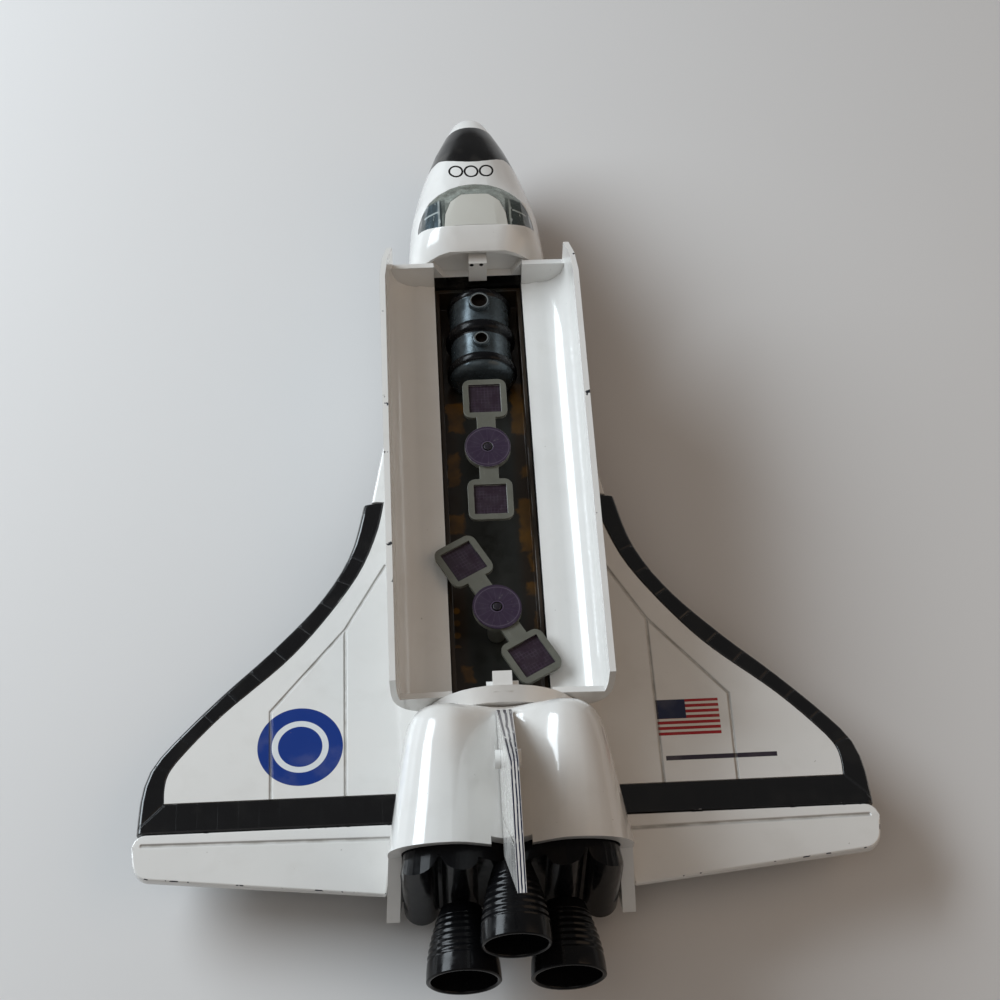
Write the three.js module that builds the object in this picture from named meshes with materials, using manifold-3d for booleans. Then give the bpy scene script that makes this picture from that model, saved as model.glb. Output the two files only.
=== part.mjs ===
// A die-cast toy space shuttle, 192 mm long, with its payload doors open.
// Sizes are in millimetres. Y runs forward from the front edge of the elevons and Z runs up from
// the upper surface of the wings. The group at the end sets the toy down on its wheels.
import * as THREE from "three";
import { mergeVertices } from "three/addons/utils/BufferGeometryUtils.js";
import Module from "manifold-3d";

const wasm = await Module();
wasm.setup();

// Overall sizes and fits
const NOSE_TIP_Y = 160;
const FIN_REAR_Y = -32;
const WING_HEIGHT = 13; // floor to the wings' upper surface
const GAP = 0.3; // between pieces that are seated on each other
const PAINT_STEP = 0.1; // between a white and a black field of one casting
const FAR = 200; // longer than anything that is cut

// Body: the white casting stands on the black belly tray
const WHITE_BOTTOM_Z = -2.2;
const BELLY_TOP_Z = WHITE_BOTTOM_Z - GAP;
const BELLY_FLAT_Z = -8;
const RING_POINTS = 40;
const ROOF_POWER = 2.2; // superellipse power above the widest line, unless a section has its own
const KEEL_POWER = 4; // and below it, where the sides are nearly upright
const NOSE_REAR_Y = 113.6;
const BAY_REAR_Y = 17.3;
const AFT_RING = { half: 14.6, keel: -9, widest: 2 };
const AFT_RING_TOP = { front: 17.2, rear: 15.9 };
const TAB = { half: 1.7, frontY: 20.3, bottomZ: 13.6, topZ: 16.7 };
const TAB_ROD = { half: 2.8, y: 18.2, z: 14.5, radius: 1.1 };

// Nose and belly sections: station y, half width, roof, keel, height of the widest line. Behind
// the windows the roof is flatter on top, which is its own power.
const NOSE_SECTIONS = [
  { y: NOSE_TIP_Y, half: 1.2, top: 4.5, keel: 1.4, widest: 3.0 },
  { y: 159.2, half: 2.7, top: 6.3, keel: -0.1, widest: 3.0 },
  { y: 157.2, half: 4.0, top: 8.2, keel: -1.8, widest: 3.0 },
  { y: 153.0, half: 5.8, top: 10.6, keel: -3.8, widest: 2.9 },
  { y: 148.0, half: 8.0, top: 12.8, keel: -5.5, widest: 2.5 },
  { y: 141.0, half: 10.5, top: 15.0, keel: -7.4, widest: 2.0 },
  { y: 134.0, half: 12.3, top: 16.7, keel: -8.6, widest: 2.0, power: 2.3 },
  { y: 130.0, half: 12.9, top: 18.2, keel: -9.0, widest: 2.0, power: 2.5 },
  { y: 126.5, half: 13.3, top: 19.6, keel: -9.0, widest: 2.0, power: 2.8 },
  { y: 118.0, half: 13.9, top: 19.9, keel: -9.0, widest: 2.0, power: 3.0 },
  { y: 115.6, half: 14.0, top: 18.9, keel: -9.0, widest: 2.0, power: 2.8 },
  { y: NOSE_REAR_Y, half: 14.1, top: 17.4, keel: -9.0, widest: 2.0, power: 2.5 },
];
const HULL_SECTIONS = [
  { y: 108, half: 14.3, top: 18, keel: -9, widest: 2 },
  { y: 15.0, half: 14.3, top: 10, keel: -9, widest: 2 },
  { y: 14.0, half: 13.8, top: 10, keel: -9, widest: 2 },
  { y: -8.5, half: 13.8, top: 10, keel: -9, widest: 2 },
];

// Cockpit: a clear window band round a cream roof panel, over an open pocket
const WINDOW = { rearY: 118.2, tipY: 120.3, halfWidth: 11.6, reach: 10.2, pocketZ: 9 };
const GLASS_WALL = 1.1;
const ROOF_PANEL = { rearHalf: 6.3, wall: 2.4 };
const ROOF_ARCH = [[6.0, 121.8], [4.9, 124.9], [2.6, 126.6]];

// Recess in the nose's rear face, with a post that stands in it: x and z from the lower corner up
const RECESS = [[6.8, 9.6], [8.6, 12.8], [9.2, 14.4], [9.2, 20]];
const RECESS_DEPTH = 1.6;
const RECESS_RIM = 0.5;
const POST = { half: 1.8, rearY: 112.3, bottomZ: 9.6, topZ: 15.1 };

// Payload doors, each a quarter of the round roof that swings up about pins in the two bulkheads.
// The open door's inner face is a superellipse about centreX and centreZ, across and down from it.
const DOOR = {
  pivotX: 10.75,
  pivotZ: 9.55,
  innerX: 8.7,
  centreX: 6.4,
  centreZ: 20.1,
  across: 11.9,
  down: 11.6,
  power: 2.8,
  topZ: 19.8,
  wall: 1.1,
  frontY: 113.1,
  rearY: 17.6,
  steps: 14,
  frontWebZ: 14.8,
  rearWebZ: 13.0,
  pinRadius: 0.7,
  pinReach: 2.2,
};
const DOOR_CURL = [[7, 0], [2.8, 0.5], [0, 1.5]]; // distance from the front end, and pull inwards
const PIN_HOLE = 0.95;

// Payload bay: white side walls, each with a ledge that the open door rests on, and a dark tub
const SIDE = { innerX: 8.9, ledgeX: 13.3, outerX: 14.3, topZ: 5.8 };
const TUB = { half: 8.6, wall: 0.8, floorZ: 0.3, topZ: 5.8 };

// Wings: x and y of the outer edge and of the inner edge of the black band
const WING_THICKNESS = 3.2;
const STRAKE = [
  [14.7, 98.6],
  [17.2, 89],
  [20.2, 79.5],
  [22.6, 66.8],
];
const LEADING_EDGE = [
  [24.0, 66.5],
  [26.8, 55.5],
  [32.5, 45.5],
  [41.1, 35.7],
  [50.0, 27.0],
  [57.6, 18.9],
  [62.2, 13.0],
  [63.9, 7.5],
  [64.4, 0.2],
];
const BAND_INNER = [
  [20.2, 66.5],
  [22.0, 58.7],
  [26.5, 48.7],
  [37.1, 34.5],
  [50.2, 22.3],
  [58.4, 12.9],
  [59.8, 9.3],
  [59.8, 5.6],
];
const EDGE_STEPS = 26;
const EDGE_ROUNDING = 1.0; // of the wings' outer edge, above and below
const EDGE_REAR_Y = -9; // past the stripe, so that only the outer edge is rounded
const EDGE_FRONT_REACH = 3; // and past the strake's tip
const STRIPE_FRONT_Y = 5.6;
const STRIPE_REAR_Y = 0.2;
const ELEVON = { tipX: 65, tipRearY: -3.4, cornerX: 62.8, cornerY: -8.1, rearY: -12.6 };

// Aft cowl with its two pods: station y, crest of a pod, floor of the valley, trim of the width
const COWL_FRONT_Y = 14.4;
const COWL_FRONT_HALF = 16.8;
const COWL_REAR_Y = -11;
const COWL_REAR_HALF = 20.8;
const COWL_SECTIONS = [
  { y: COWL_FRONT_Y, crest: 16.6, valley: 14.6, trim: 2.2 },
  { y: 13.5, crest: 18.7, valley: 15.1, trim: 0.8 },
  { y: 12.0, crest: 20.1, valley: 15.4, trim: 0.2 },
  { y: 9.5, crest: 21.0, valley: 15.5, trim: 0 },
  { y: 5.0, crest: 21.4, valley: 15.5, trim: 0 },
  { y: -17, crest: 20.6, valley: 15.5, trim: 0 },
];
const POD_X = 10;
const COWL_SHOULDER_Z = 9.5;
const VALLEY_NOTCH = { half: 3.4, frontY: -10.3 };
const COWL_BOTTOM_Z = -6;
const COWL_WALL = 2.3;
const CAVITY_FRONT_Y = 9;
const POD_REAR_TOP = [-12.7, 21];
const PLATE_REAR_TOP = [-9.7, 8];
const PLATE_REAR_BOTTOM = [-15.7, -6];
const FIN = { frontY: 13.2, rootZ: 15.9, topFrontY: -10.8, topZ: 46, rootRearY: -13.5 };
const FIN_HALF = { root: 1.4, top: 0.7 };
const FIN_BOSS = { y: 1.5, z: 21, radius: 1.6, half: 2.2 };

// Engines: three bells on a block with upright lobes
const ENGINE_REAR_Y = -13.5;
const ENGINE_BOTTOM_Z = -6.4;
const LOBES = { radius: 3.1, y: -13.2, xs: [-15.4, -8.7, 8.7, 15.4], middleTopZ: 5.5 };
const BELLS = [
  { name: "nozzle_lower_left", x: -8.7, z: 1.5, exitY: -29.5, lip: 6.3, neck: 3.4, baseY: -16.6 },
  { name: "nozzle_lower_right", x: 8.7, z: 1.5, exitY: -29.5, lip: 6.3, neck: 3.4, baseY: -16.6 },
  { name: "nozzle_upper", x: 0, z: 12, exitY: -27.5, lip: 5.9, neck: 3.2, baseY: -13.8 },
];
const BELL_WALL = 0.8;
const BELL_SIDES = 28;

// Lab module, lying half sunk on the floor of the bay: y and radius along its axis
const LAB = { z: 4, flatZ: 0.6 };
const LAB_PROFILE = [
  [111.4, 0],
  [111.4, 4.9],
  [110.2, 5.3],
  [110.2, 6.3],
  [101.8, 6.3],
  [101.8, 6.9],
  [99.3, 6.9],
  [99.3, 6.3],
  [94.4, 6.3],
  [94.4, 6.9],
  [91.9, 6.9],
  [91.2, 6.2],
  [90.6, 4.5],
  [90.4, 0],
];
const LAB_PORTS = [
  { y: 106.3, radius: 2.1 },
  { y: 97.0, radius: 1.7 },
];
const PORT_TOP_Z = 11.1;

// Satellites on their pegs
const SATELLITES = [
  { name: "front", y: 71, turn: 0 },
  { name: "rear", y: 36.2, turn: 29 },
];
const SAT = {
  discRadius: 4.6,
  discTopZ: 11.2,
  bottomZ: 9.4,
  topZ: 10.8,
  frameReach: 11.5,
  frameHalf: 4.45,
  corner: 1.6,
  cellHalf: 3.25,
  cellDepth: 0.5,
  armHalf: 1.9,
  hole: 1.0,
};
const PEG = { radius: 1.7, shoulderZ: 9.1, pin: 0.8, topZ: 11.7 };

// Wheels, two on each axle
const AXLE_RADIUS = 0.8;
const AXLE_HOLE = 0.95;
const WHEEL_SIDES = 28;
const AXLES = [
  {
    name: "nose", y: 110, radius: 4.0, innerX: 2.6, outerX: 5.6,
    lugs: [[-2.2, 2.2]],
    wells: [[-6.2, 6.2]],
  },
  {
    name: "main", y: 20, radius: 4.6, innerX: 15.4, outerX: 19.4,
    lugs: [[-13.6, -9.6], [9.6, 13.6]],
    wells: [[-20, -15], [15, 20]],
  },
];
const LUG_REACH = 2.2; // below the axle's centre
const LUG_HALF_LENGTH = 2.6;
const WELL_CLEARANCE = 0.8;
const SKIN = { topZ: -WING_THICKNESS - GAP, thickness: 1.1 };
const SKIN_OUTLINE = [
  [13, 88],
  [18.5, 76],
  [20.5, 62],
  [24.5, 50],
  [35, 37.5],
  [56, 16.5],
  [61, 8],
  [61, -1.5],
  [22.4, -1.5],
  [20.4, COWL_FRONT_Y + GAP],
  [13, COWL_FRONT_Y + GAP],
];

const paint = (color, roughness, metalness = 0) => ({ color, roughness, metalness });
const WHITE = paint(0xf1efe9, 0.25);
const BLACK_GLOSS = paint(0x0b0b0d, 0.15);
const BLACK_PLASTIC = paint(0x151517, 0.5);
const CREAM = paint(0xdedac8, 0.45);
const GLASS = paint(0x9fc3bd, 0.08);
const TUB_PRINT = paint(0x2b2723, 0.6);
const LAB_GREY = paint(0x5d6873, 0.35, 0.3);
const SATELLITE_GREY = paint(0x8b8878, 0.5);
const STEEL = paint(0xb9bcc0, 0.3, 0.9);

const toy = new THREE.Group();

// A closed geometry as a solid, with its faces turned outwards
function solid(geometry) {
  const bare = geometry.index ? geometry.toNonIndexed() : geometry.clone();
  bare.deleteAttribute("normal");
  bare.deleteAttribute("uv");
  const merged = mergeVertices(bare, 1e-4);
  const corners = merged.index.array;
  const kept = [];
  for (let i = 0; i < corners.length; i += 3) {
    const [a, b, c] = [corners[i], corners[i + 1], corners[i + 2]];
    if (a !== b && b !== c && c !== a) kept.push([a, b, c]);
  }
  const made = (triangles) =>
    new wasm.Manifold(
      new wasm.Mesh({
        numProp: 3,
        vertProperties: new Float32Array(merged.attributes.position.array),
        triVerts: new Uint32Array(triangles.flat()),
      }),
    );
  const first = made(kept);
  return first.volume() > 0 ? first : made(kept.map(([a, b, c]) => [a, c, b]));
}

// Adds a solid to the toy as one named piece
function addPiece(name, body, finish, place = { y: 0, turn: 0 }) {
  const { vertProperties, triVerts } = body.getMesh();
  const geometry = new THREE.BufferGeometry();
  geometry.setAttribute("position", new THREE.Float32BufferAttribute(vertProperties, 3));
  geometry.setIndex(Array.from(triVerts));
  const mesh = new THREE.Mesh(geometry.toNonIndexed(), new THREE.MeshStandardMaterial(finish));
  mesh.geometry.computeVertexNormals();
  mesh.name = name;
  mesh.position.y = place.y;
  mesh.rotation.z = THREE.MathUtils.degToRad(place.turn);
  toy.add(mesh);
}

const shapeOf = (outline) => new THREE.Shape(outline.map(([a, b]) => new THREE.Vector2(a, b)));
const pushed = (outline, depth) =>
  new THREE.ExtrudeGeometry(shapeOf(outline), { depth, bevelEnabled: false });

// Prisms: an outline in plan pushed up, an outline seen from behind pushed along the toy, and an
// outline seen from the side pushed across it
const slab = (outline, low, high) => solid(pushed(outline, high - low).translate(0, 0, low));
const alongY = (outline, rear, front) =>
  solid(pushed(outline, front - rear).rotateX(Math.PI / 2).translate(0, front, 0));
const alongX = (outline, left, right) =>
  solid(pushed(outline, right - left).rotateX(Math.PI / 2).rotateZ(Math.PI / 2).translate(left, 0, 0));
const block = (x0, x1, y0, y1, z0, z1) =>
  solid(
    new THREE.BoxGeometry(x1 - x0, y1 - y0, z1 - z0)
      .translate((x0 + x1) / 2, (y0 + y1) / 2, (z0 + z1) / 2),
  );
const rodX = (y, z, radius, x0, x1, sides = 20) =>
  solid(
    new THREE.CylinderGeometry(radius, radius, x1 - x0, sides)
      .rotateZ(Math.PI / 2)
      .translate((x0 + x1) / 2, y, z),
  );
const rodY = (x, z, radius, y0, y1, sides = 16) =>
  solid(new THREE.CylinderGeometry(radius, radius, y1 - y0, sides).translate(x, (y0 + y1) / 2, z));
const rodZ = (x, y, radius, z0, z1, sides = 24) =>
  solid(
    new THREE.CylinderGeometry(radius, radius, z1 - z0, sides)
      .rotateX(Math.PI / 2)
      .translate(x, y, (z0 + z1) / 2),
  );

// A solid skinned over rings of corners, each ring with a flat cap at its end of the row. The two
// axes say which of x, y and z the caps are laid out in.
function skinned(rings, axes = [0, 1]) {
  const count = rings[0].length;
  const corners = rings.flat();
  const triangles = [];
  for (let r = 0; r + 1 < rings.length; r++)
    for (let i = 0; i < count; i++) {
      const [a, b] = [r * count + i, r * count + ((i + 1) % count)];
      triangles.push([a, b, b + count], [a, b + count, a + count]);
    }
  for (const [r, turned] of [[0, true], [rings.length - 1, false]]) {
    const ring = rings[r].map((corner) => new THREE.Vector2(corner[axes[0]], corner[axes[1]]));
    for (const [a, b, c] of THREE.ShapeUtils.triangulateShape(ring, []))
      triangles.push((turned ? [a, c, b] : [a, b, c]).map((i) => i + r * count));
  }
  const geometry = new THREE.BufferGeometry();
  const flat = triangles.flat().flatMap((i) => corners[i]);
  geometry.setAttribute("position", new THREE.Float32BufferAttribute(flat, 3));
  return solid(geometry);
}

// The same over rings of [x, z] points at their stations along the toy
const loft = (rings) => skinned(rings.map(({ y, points }) => points.map(([x, z]) => [x, y, z])), [0, 2]);

// A body section: a superellipse with its own height above and below the widest line
function bodyRing({ y, half, top, keel, widest, power: roofPower = ROOF_POWER }) {
  const points = [];
  for (let i = 0; i < RING_POINTS; i++) {
    const angle = (2 * Math.PI * i) / RING_POINTS;
    const [across, up] = [Math.cos(angle), Math.sin(angle)];
    const power = 2 / (up >= 0 ? roofPower : KEEL_POWER);
    const height = up >= 0 ? top - widest : widest - keel;
    points.push([
      half * Math.sign(across) * Math.abs(across) ** power,
      widest + height * Math.sign(up) * Math.abs(up) ** power,
    ]);
  }
  return { y, points };
}

const smooth = (points, steps) =>
  new THREE.SplineCurve(points.map(([x, y]) => new THREE.Vector2(x, y)))
    .getSpacedPoints(steps)
    .map(({ x, y }) => [x, y]);
const mirrored = (outline, side) => outline.map(([x, y]) => [side * x, y]);

// Nose: one casting, with a pocket under the cockpit windows and a hole for each door pin
const noseSolid = loft(NOSE_SECTIONS.map(bodyRing));
function windowOutline(shrink) {
  const front = new THREE.EllipseCurve(
    0, WINDOW.tipY, WINDOW.halfWidth - shrink, WINDOW.reach - shrink, 0, Math.PI,
  ).getPoints(24).map(({ x, y }) => [x, y]);
  const rearHalf = ROOF_PANEL.rearHalf + PAINT_STEP;
  return [...front, [-rearHalf, WINDOW.rearY + shrink], [rearHalf, WINDOW.rearY + shrink]];
}
function roofOutline(grow) {
  const right = [
    [ROOF_PANEL.rearHalf + grow, WINDOW.rearY + PAINT_STEP - 2 * grow],
    ...ROOF_ARCH.map(([x, y]) => [x + grow, y + grow]),
  ];
  return [...right, ...mirrored(right, -1).reverse()];
}
const pinHoles = (y0, y1) =>
  rodY(-DOOR.pivotX, DOOR.pivotZ, PIN_HOLE, y0, y1).add(rodY(DOOR.pivotX, DOOR.pivotZ, PIN_HOLE, y0, y1));
const above = (z) => block(-FAR, FAR, -FAR, FAR, z, FAR);
const below = (z) => block(-FAR, FAR, -FAR, FAR, -FAR, z);
const recess = loft(
  NOSE_SECTIONS.filter(({ y }) => y < 118).map((s) =>
    bodyRing({ ...s, half: s.half - RECESS_RIM, top: s.top - RECESS_RIM }),
  ),
)
  .intersect(alongY([...RECESS, ...mirrored(RECESS, -1).reverse()], -FAR, NOSE_REAR_Y + RECESS_DEPTH));
const nose = noseSolid
  .intersect(above(WHITE_BOTTOM_Z))
  .subtract(slab(windowOutline(0), WINDOW.pocketZ, FAR))
  .subtract(pinHoles(NOSE_REAR_Y - 1, NOSE_REAR_Y + DOOR.pinReach))
  .subtract(recess)
  .add(
    block(-POST.half, POST.half, POST.rearY, NOSE_REAR_Y + RECESS_DEPTH + 1, POST.bottomZ, POST.topZ),
  );
addPiece("nose_body", nose, WHITE);

const roundWindows = NOSE_SECTIONS.filter(({ y }) => y < 142);
const lowered = (wall) =>
  loft(roundWindows.map((s) => bodyRing({ ...s, half: s.half - wall, top: s.top - wall })));
const glass = noseSolid
  .intersect(slab(windowOutline(PAINT_STEP), WINDOW.pocketZ, FAR))
  .subtract(lowered(GLASS_WALL))
  .subtract(slab(roofOutline(PAINT_STEP), 0, FAR));
addPiece("cockpit_glass", glass, GLASS);
const roofPanel = noseSolid
  .intersect(slab(roofOutline(0), WINDOW.pocketZ, FAR))
  .subtract(lowered(ROOF_PANEL.wall));
addPiece("cockpit_roof", roofPanel, CREAM);

// Height of a door's face at x: the inner face, or with its wall added the outer one
const doorZ = (x, wall) =>
  DOOR.centreZ -
  (DOOR.down + wall) *
    (1 - ((x - DOOR.centreX) / (DOOR.across + wall)) ** DOOR.power) ** (1 / DOOR.power);

// Side walls of the payload bay, each with a ledge under the open door
for (const [side, word] of [[-1, "left"], [1, "right"]]) {
  const section = [
    [SIDE.innerX, WHITE_BOTTOM_Z],
    [SIDE.outerX, WHITE_BOTTOM_Z],
    [SIDE.outerX, doorZ(SIDE.outerX, DOOR.wall) - GAP],
    [SIDE.ledgeX, doorZ(SIDE.ledgeX, DOOR.wall) - GAP],
    [SIDE.ledgeX, SIDE.topZ],
    [SIDE.innerX, SIDE.topZ],
  ];
  addPiece(
    "bay_side_" + word,
    alongY(mirrored(section, side), BAY_REAR_Y + GAP, NOSE_REAR_Y - GAP),
    WHITE,
  );
}

// Dark tub of the bay: floor, low walls and ends
const tubRear = BAY_REAR_Y + GAP;
const tubFront = NOSE_REAR_Y - GAP;
const tub = block(-TUB.half, TUB.half, tubRear, tubFront, WHITE_BOTTOM_Z, TUB.topZ).subtract(
  block(
    -TUB.half + TUB.wall, TUB.half - TUB.wall, tubRear + TUB.wall, tubFront - TUB.wall, TUB.floorZ, FAR,
  ),
);
addPiece("bay_tub", tub, TUB_PRINT);

// Rear bulkhead: an arch that falls towards the valley, with a tab and a short rod on its front
const bulkhead = loft([
  bodyRing({ y: BAY_REAR_Y, ...AFT_RING, top: AFT_RING_TOP.front }),
  bodyRing({ y: COWL_FRONT_Y + GAP, ...AFT_RING, top: AFT_RING_TOP.rear }),
])
  .intersect(above(WHITE_BOTTOM_Z))
  .subtract(pinHoles(BAY_REAR_Y - DOOR.pinReach, BAY_REAR_Y + 1))
  .add(block(-TAB.half, TAB.half, BAY_REAR_Y - 1, TAB.frontY, TAB.bottomZ, TAB.topZ))
  .add(rodX(TAB_ROD.y, TAB_ROD.z, TAB_ROD.radius, -TAB_ROD.half, TAB_ROD.half));
addPiece("rear_bulkhead", bulkhead, WHITE);

// Payload doors: the face of one at a wall's distance out, pulled inwards at the front end
function doorFace(wall, pull) {
  const [across, down] = [DOOR.across + wall - pull, DOOR.down + wall];
  const low = Math.asin(((DOOR.innerX - DOOR.centreX) / across) ** (DOOR.power / 2));
  const high = Math.acos(((DOOR.centreZ - DOOR.topZ) / down) ** (DOOR.power / 2));
  const points = [];
  for (let i = 0; i <= DOOR.steps; i++) {
    const angle = low + ((high - low) * i) / DOOR.steps;
    points.push([
      DOOR.centreX + across * Math.sin(angle) ** (2 / DOOR.power),
      DOOR.centreZ - down * Math.cos(angle) ** (2 / DOOR.power),
    ]);
  }
  return points;
}
function doorSolid(side, ringAt) {
  const curl = DOOR_CURL.map(([distance, pull]) => ({ y: DOOR.frontY - distance, pull }));
  const rings = [{ y: DOOR.rearY, pull: 0 }, ...curl];
  return loft(
    rings.map(({ y, pull }) => {
      const points = ringAt(pull);
      return { y, points: side > 0 ? points : mirrored(points, side).reverse() };
    }),
  );
}
for (const [side, word] of [[-1, "left"], [1, "right"]]) {
  const x = side * DOOR.pivotX;
  const shell = doorSolid(side, (pull) => [...doorFace(DOOR.wall, pull), ...doorFace(0, pull).reverse()]);
  const filled = doorSolid(side, (pull) => [...doorFace(DOOR.wall, pull), [DOOR.innerX, DOOR.topZ]]);
  const web = (top, rear, front) => filled.intersect(block(-FAR, FAR, rear, front, -FAR, top));
  const door = shell
    .add(web(DOOR.frontWebZ, DOOR.frontY - DOOR.wall, DOOR.frontY))
    .add(web(DOOR.rearWebZ, DOOR.rearY, DOOR.rearY + DOOR.wall))
    .add(rodY(x, DOOR.pivotZ, DOOR.pinRadius, DOOR.frontY - DOOR.wall, DOOR.frontY + DOOR.pinReach))
    .add(rodY(x, DOOR.pivotZ, DOOR.pinRadius, DOOR.rearY - DOOR.pinReach, DOOR.rearY + DOOR.wall));
  addPiece("door_" + word, door, WHITE);
}

// Wings: a white panel, the black band with its stripe, and the elevon. The rounded outer edge is
// cut over panel and band together, so that they stay flush.
const cowlHalf = (y) =>
  COWL_FRONT_HALF +
  ((COWL_FRONT_Y - y) * (COWL_REAR_HALF - COWL_FRONT_HALF)) / (COWL_FRONT_Y - COWL_REAR_Y);
const besideCowl = (y) => [cowlHalf(y) + GAP, y];
function roundedWing(side) {
  const edge = smooth(LEADING_EDGE, EDGE_STEPS);
  const outline = [
    [0, STRAKE[0][1] + EDGE_FRONT_REACH],
    ...STRAKE,
    ...edge,
    [LEADING_EDGE.at(-1)[0], EDGE_REAR_Y],
    [0, EDGE_REAR_Y],
  ];
  return solid(
    new THREE.ExtrudeGeometry(shapeOf(mirrored(outline, side)), {
      depth: WING_THICKNESS - 2 * EDGE_ROUNDING,
      bevelThickness: EDGE_ROUNDING,
      bevelSize: EDGE_ROUNDING,
      bevelOffset: -EDGE_ROUNDING,
      bevelSegments: 2,
    }).translate(0, 0, EDGE_ROUNDING - WING_THICKNESS),
  );
}
for (const [side, word] of [[-1, "left"], [1, "right"]]) {
  const wing = roundedWing(side);
  const inner = smooth(BAND_INNER, EDGE_STEPS);
  const panelEdge = inner.slice(1, -1).map(([x, y]) => [x - PAINT_STEP, y - PAINT_STEP]);
  const [bandX, bandY] = BAND_INNER[0];
  const panelRear = STRIPE_FRONT_Y + PAINT_STEP;
  const panel = [
    ...STRAKE,
    [bandX - PAINT_STEP, bandY + PAINT_STEP],
    ...panelEdge,
    [BAND_INNER.at(-1)[0] - PAINT_STEP, panelRear],
    besideCowl(panelRear),
    besideCowl(COWL_FRONT_Y + GAP),
    [STRAKE[0][0], COWL_FRONT_Y + 2 * GAP],
  ];
  addPiece(
    "wing_panel_" + word,
    slab(mirrored(panel, side), -WING_THICKNESS, 0).intersect(wing),
    WHITE,
  );
  const band = [
    besideCowl(STRIPE_FRONT_Y),
    ...inner.reverse(),
    ...smooth(LEADING_EDGE, EDGE_STEPS),
    besideCowl(STRIPE_REAR_Y),
  ];
  addPiece(
    "wing_band_" + word,
    slab(mirrored(band, side), -WING_THICKNESS, 0).intersect(wing),
    BLACK_GLOSS,
  );
  const elevon = [
    besideCowl(0),
    [ELEVON.tipX, 0],
    [ELEVON.tipX, ELEVON.tipRearY],
    [ELEVON.cornerX, ELEVON.cornerY],
    besideCowl(ELEVON.rearY),
  ];
  const wedge = [
    [0, 0],
    [0, -WING_THICKNESS],
    [ELEVON.rearY, -WING_THICKNESS + 0.9],
    [ELEVON.rearY, -0.9],
    [-2.3, 0],
  ];
  addPiece(
    "elevon_" + word,
    slab(mirrored(elevon, side), -WING_THICKNESS, 0).intersect(alongX(wedge, -FAR, FAR)),
    WHITE,
  );
}

// Aft cowl: two pods with a valley, open behind and below, its sides drawn down as plates
function cowlRing({ y, crest, valley, trim }, inset, bottom) {
  const half = cowlHalf(y) - trim - inset;
  const right = [];
  const steps = 8;
  for (let i = 0; i <= steps; i++) {
    const rise = (1 - Math.cos((Math.PI * i) / steps)) / 2;
    right.push([(POD_X * i) / steps, valley + (crest - valley) * rise - inset]);
  }
  for (let i = 1; i <= steps; i++) {
    const angle = (Math.PI / 2) * (i / steps);
    const power = 2 / ROOF_POWER;
    const shoulder = Math.min(COWL_SHOULDER_Z, crest - inset - 1);
    right.push([
      POD_X + (half - POD_X) * Math.sin(angle) ** power,
      shoulder + (crest - inset - shoulder) * Math.cos(angle) ** power,
    ]);
  }
  right.push([half, bottom]);
  return { y, points: [...right.toReversed(), ...mirrored(right.slice(1), -1)] };
}
const cowlSolid = (inset, bottom) => loft(COWL_SECTIONS.map((s) => cowlRing(s, inset, bottom)));
const plateGap = [
  [cowlHalf(COWL_FRONT_Y + 6) - COWL_WALL, COWL_FRONT_Y + 6],
  [cowlHalf(-20) - COWL_WALL, -20],
];
const behindCowl = [
  [POD_REAR_TOP[0], FAR],
  POD_REAR_TOP,
  PLATE_REAR_TOP,
  PLATE_REAR_BOTTOM,
  [PLATE_REAR_BOTTOM[0], -FAR],
  [-FAR, -FAR],
  [-FAR, FAR],
];
const cavity = cowlSolid(COWL_WALL, -FAR).intersect(block(-FAR, FAR, -FAR, CAVITY_FRONT_Y, -FAR, FAR));
const { half: notchHalf, frontY: notchY } = VALLEY_NOTCH;
const cowl = cowlSolid(0, COWL_BOTTOM_Z)
  .subtract(cavity)
  .subtract(block(-notchHalf, notchHalf, -FAR, notchY, PLATE_REAR_TOP[1], FAR))
  .subtract(slab([...plateGap, ...mirrored(plateGap, -1).reverse()], -FAR, WHITE_BOTTOM_Z))
  .subtract(alongX(behindCowl, -FAR, FAR));
addPiece("aft_cowl", cowl, WHITE);

// Fin, standing in the valley between the pods and thinner towards its top, with a round boss
const finLevel = (z, half, frontY, rearY) => [
  [half, rearY, z],
  [half, frontY, z],
  [-half, frontY, z],
  [-half, rearY, z],
];
const finRoot = finLevel(FIN.rootZ, FIN_HALF.root, FIN.frontY, FIN.rootRearY);
const finTop = finLevel(FIN.topZ, FIN_HALF.top, FIN.topFrontY, FIN_REAR_Y);
const fin = skinned([finRoot, finTop]).add(
  rodX(FIN_BOSS.y, FIN_BOSS.z, FIN_BOSS.radius, -FIN_BOSS.half, FIN_BOSS.half),
);
addPiece("fin", fin, WHITE);

// Engine block, filling the cowl, with upright lobes behind
const engineInset = COWL_WALL + GAP;
const engineRearHalf = cowlHalf(ENGINE_REAR_Y) - engineInset;
const upperBlock = cowlSolid(engineInset, WHITE_BOTTOM_Z).intersect(
  block(-FAR, FAR, ENGINE_REAR_Y, CAVITY_FRONT_Y - GAP, -FAR, FAR),
);
const middleLobe = rodZ(0, LOBES.y, LOBES.radius, ENGINE_BOTTOM_Z, LOBES.middleTopZ);
const lobes = LOBES.xs.map((x) =>
  rodZ(x, LOBES.y, LOBES.radius, ENGINE_BOTTOM_Z, FAR).intersect(cowlSolid(engineInset, ENGINE_BOTTOM_Z - 1)),
);
const engine = [middleLobe, ...lobes].reduce(
  (whole, lobe) => whole.add(lobe),
  upperBlock.add(
    block(-engineRearHalf + 1, engineRearHalf - 1, ENGINE_REAR_Y, -9, ENGINE_BOTTOM_Z, WHITE_BOTTOM_Z + 1),
  ),
);
addPiece("engine_block", engine, BLACK_GLOSS);

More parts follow.
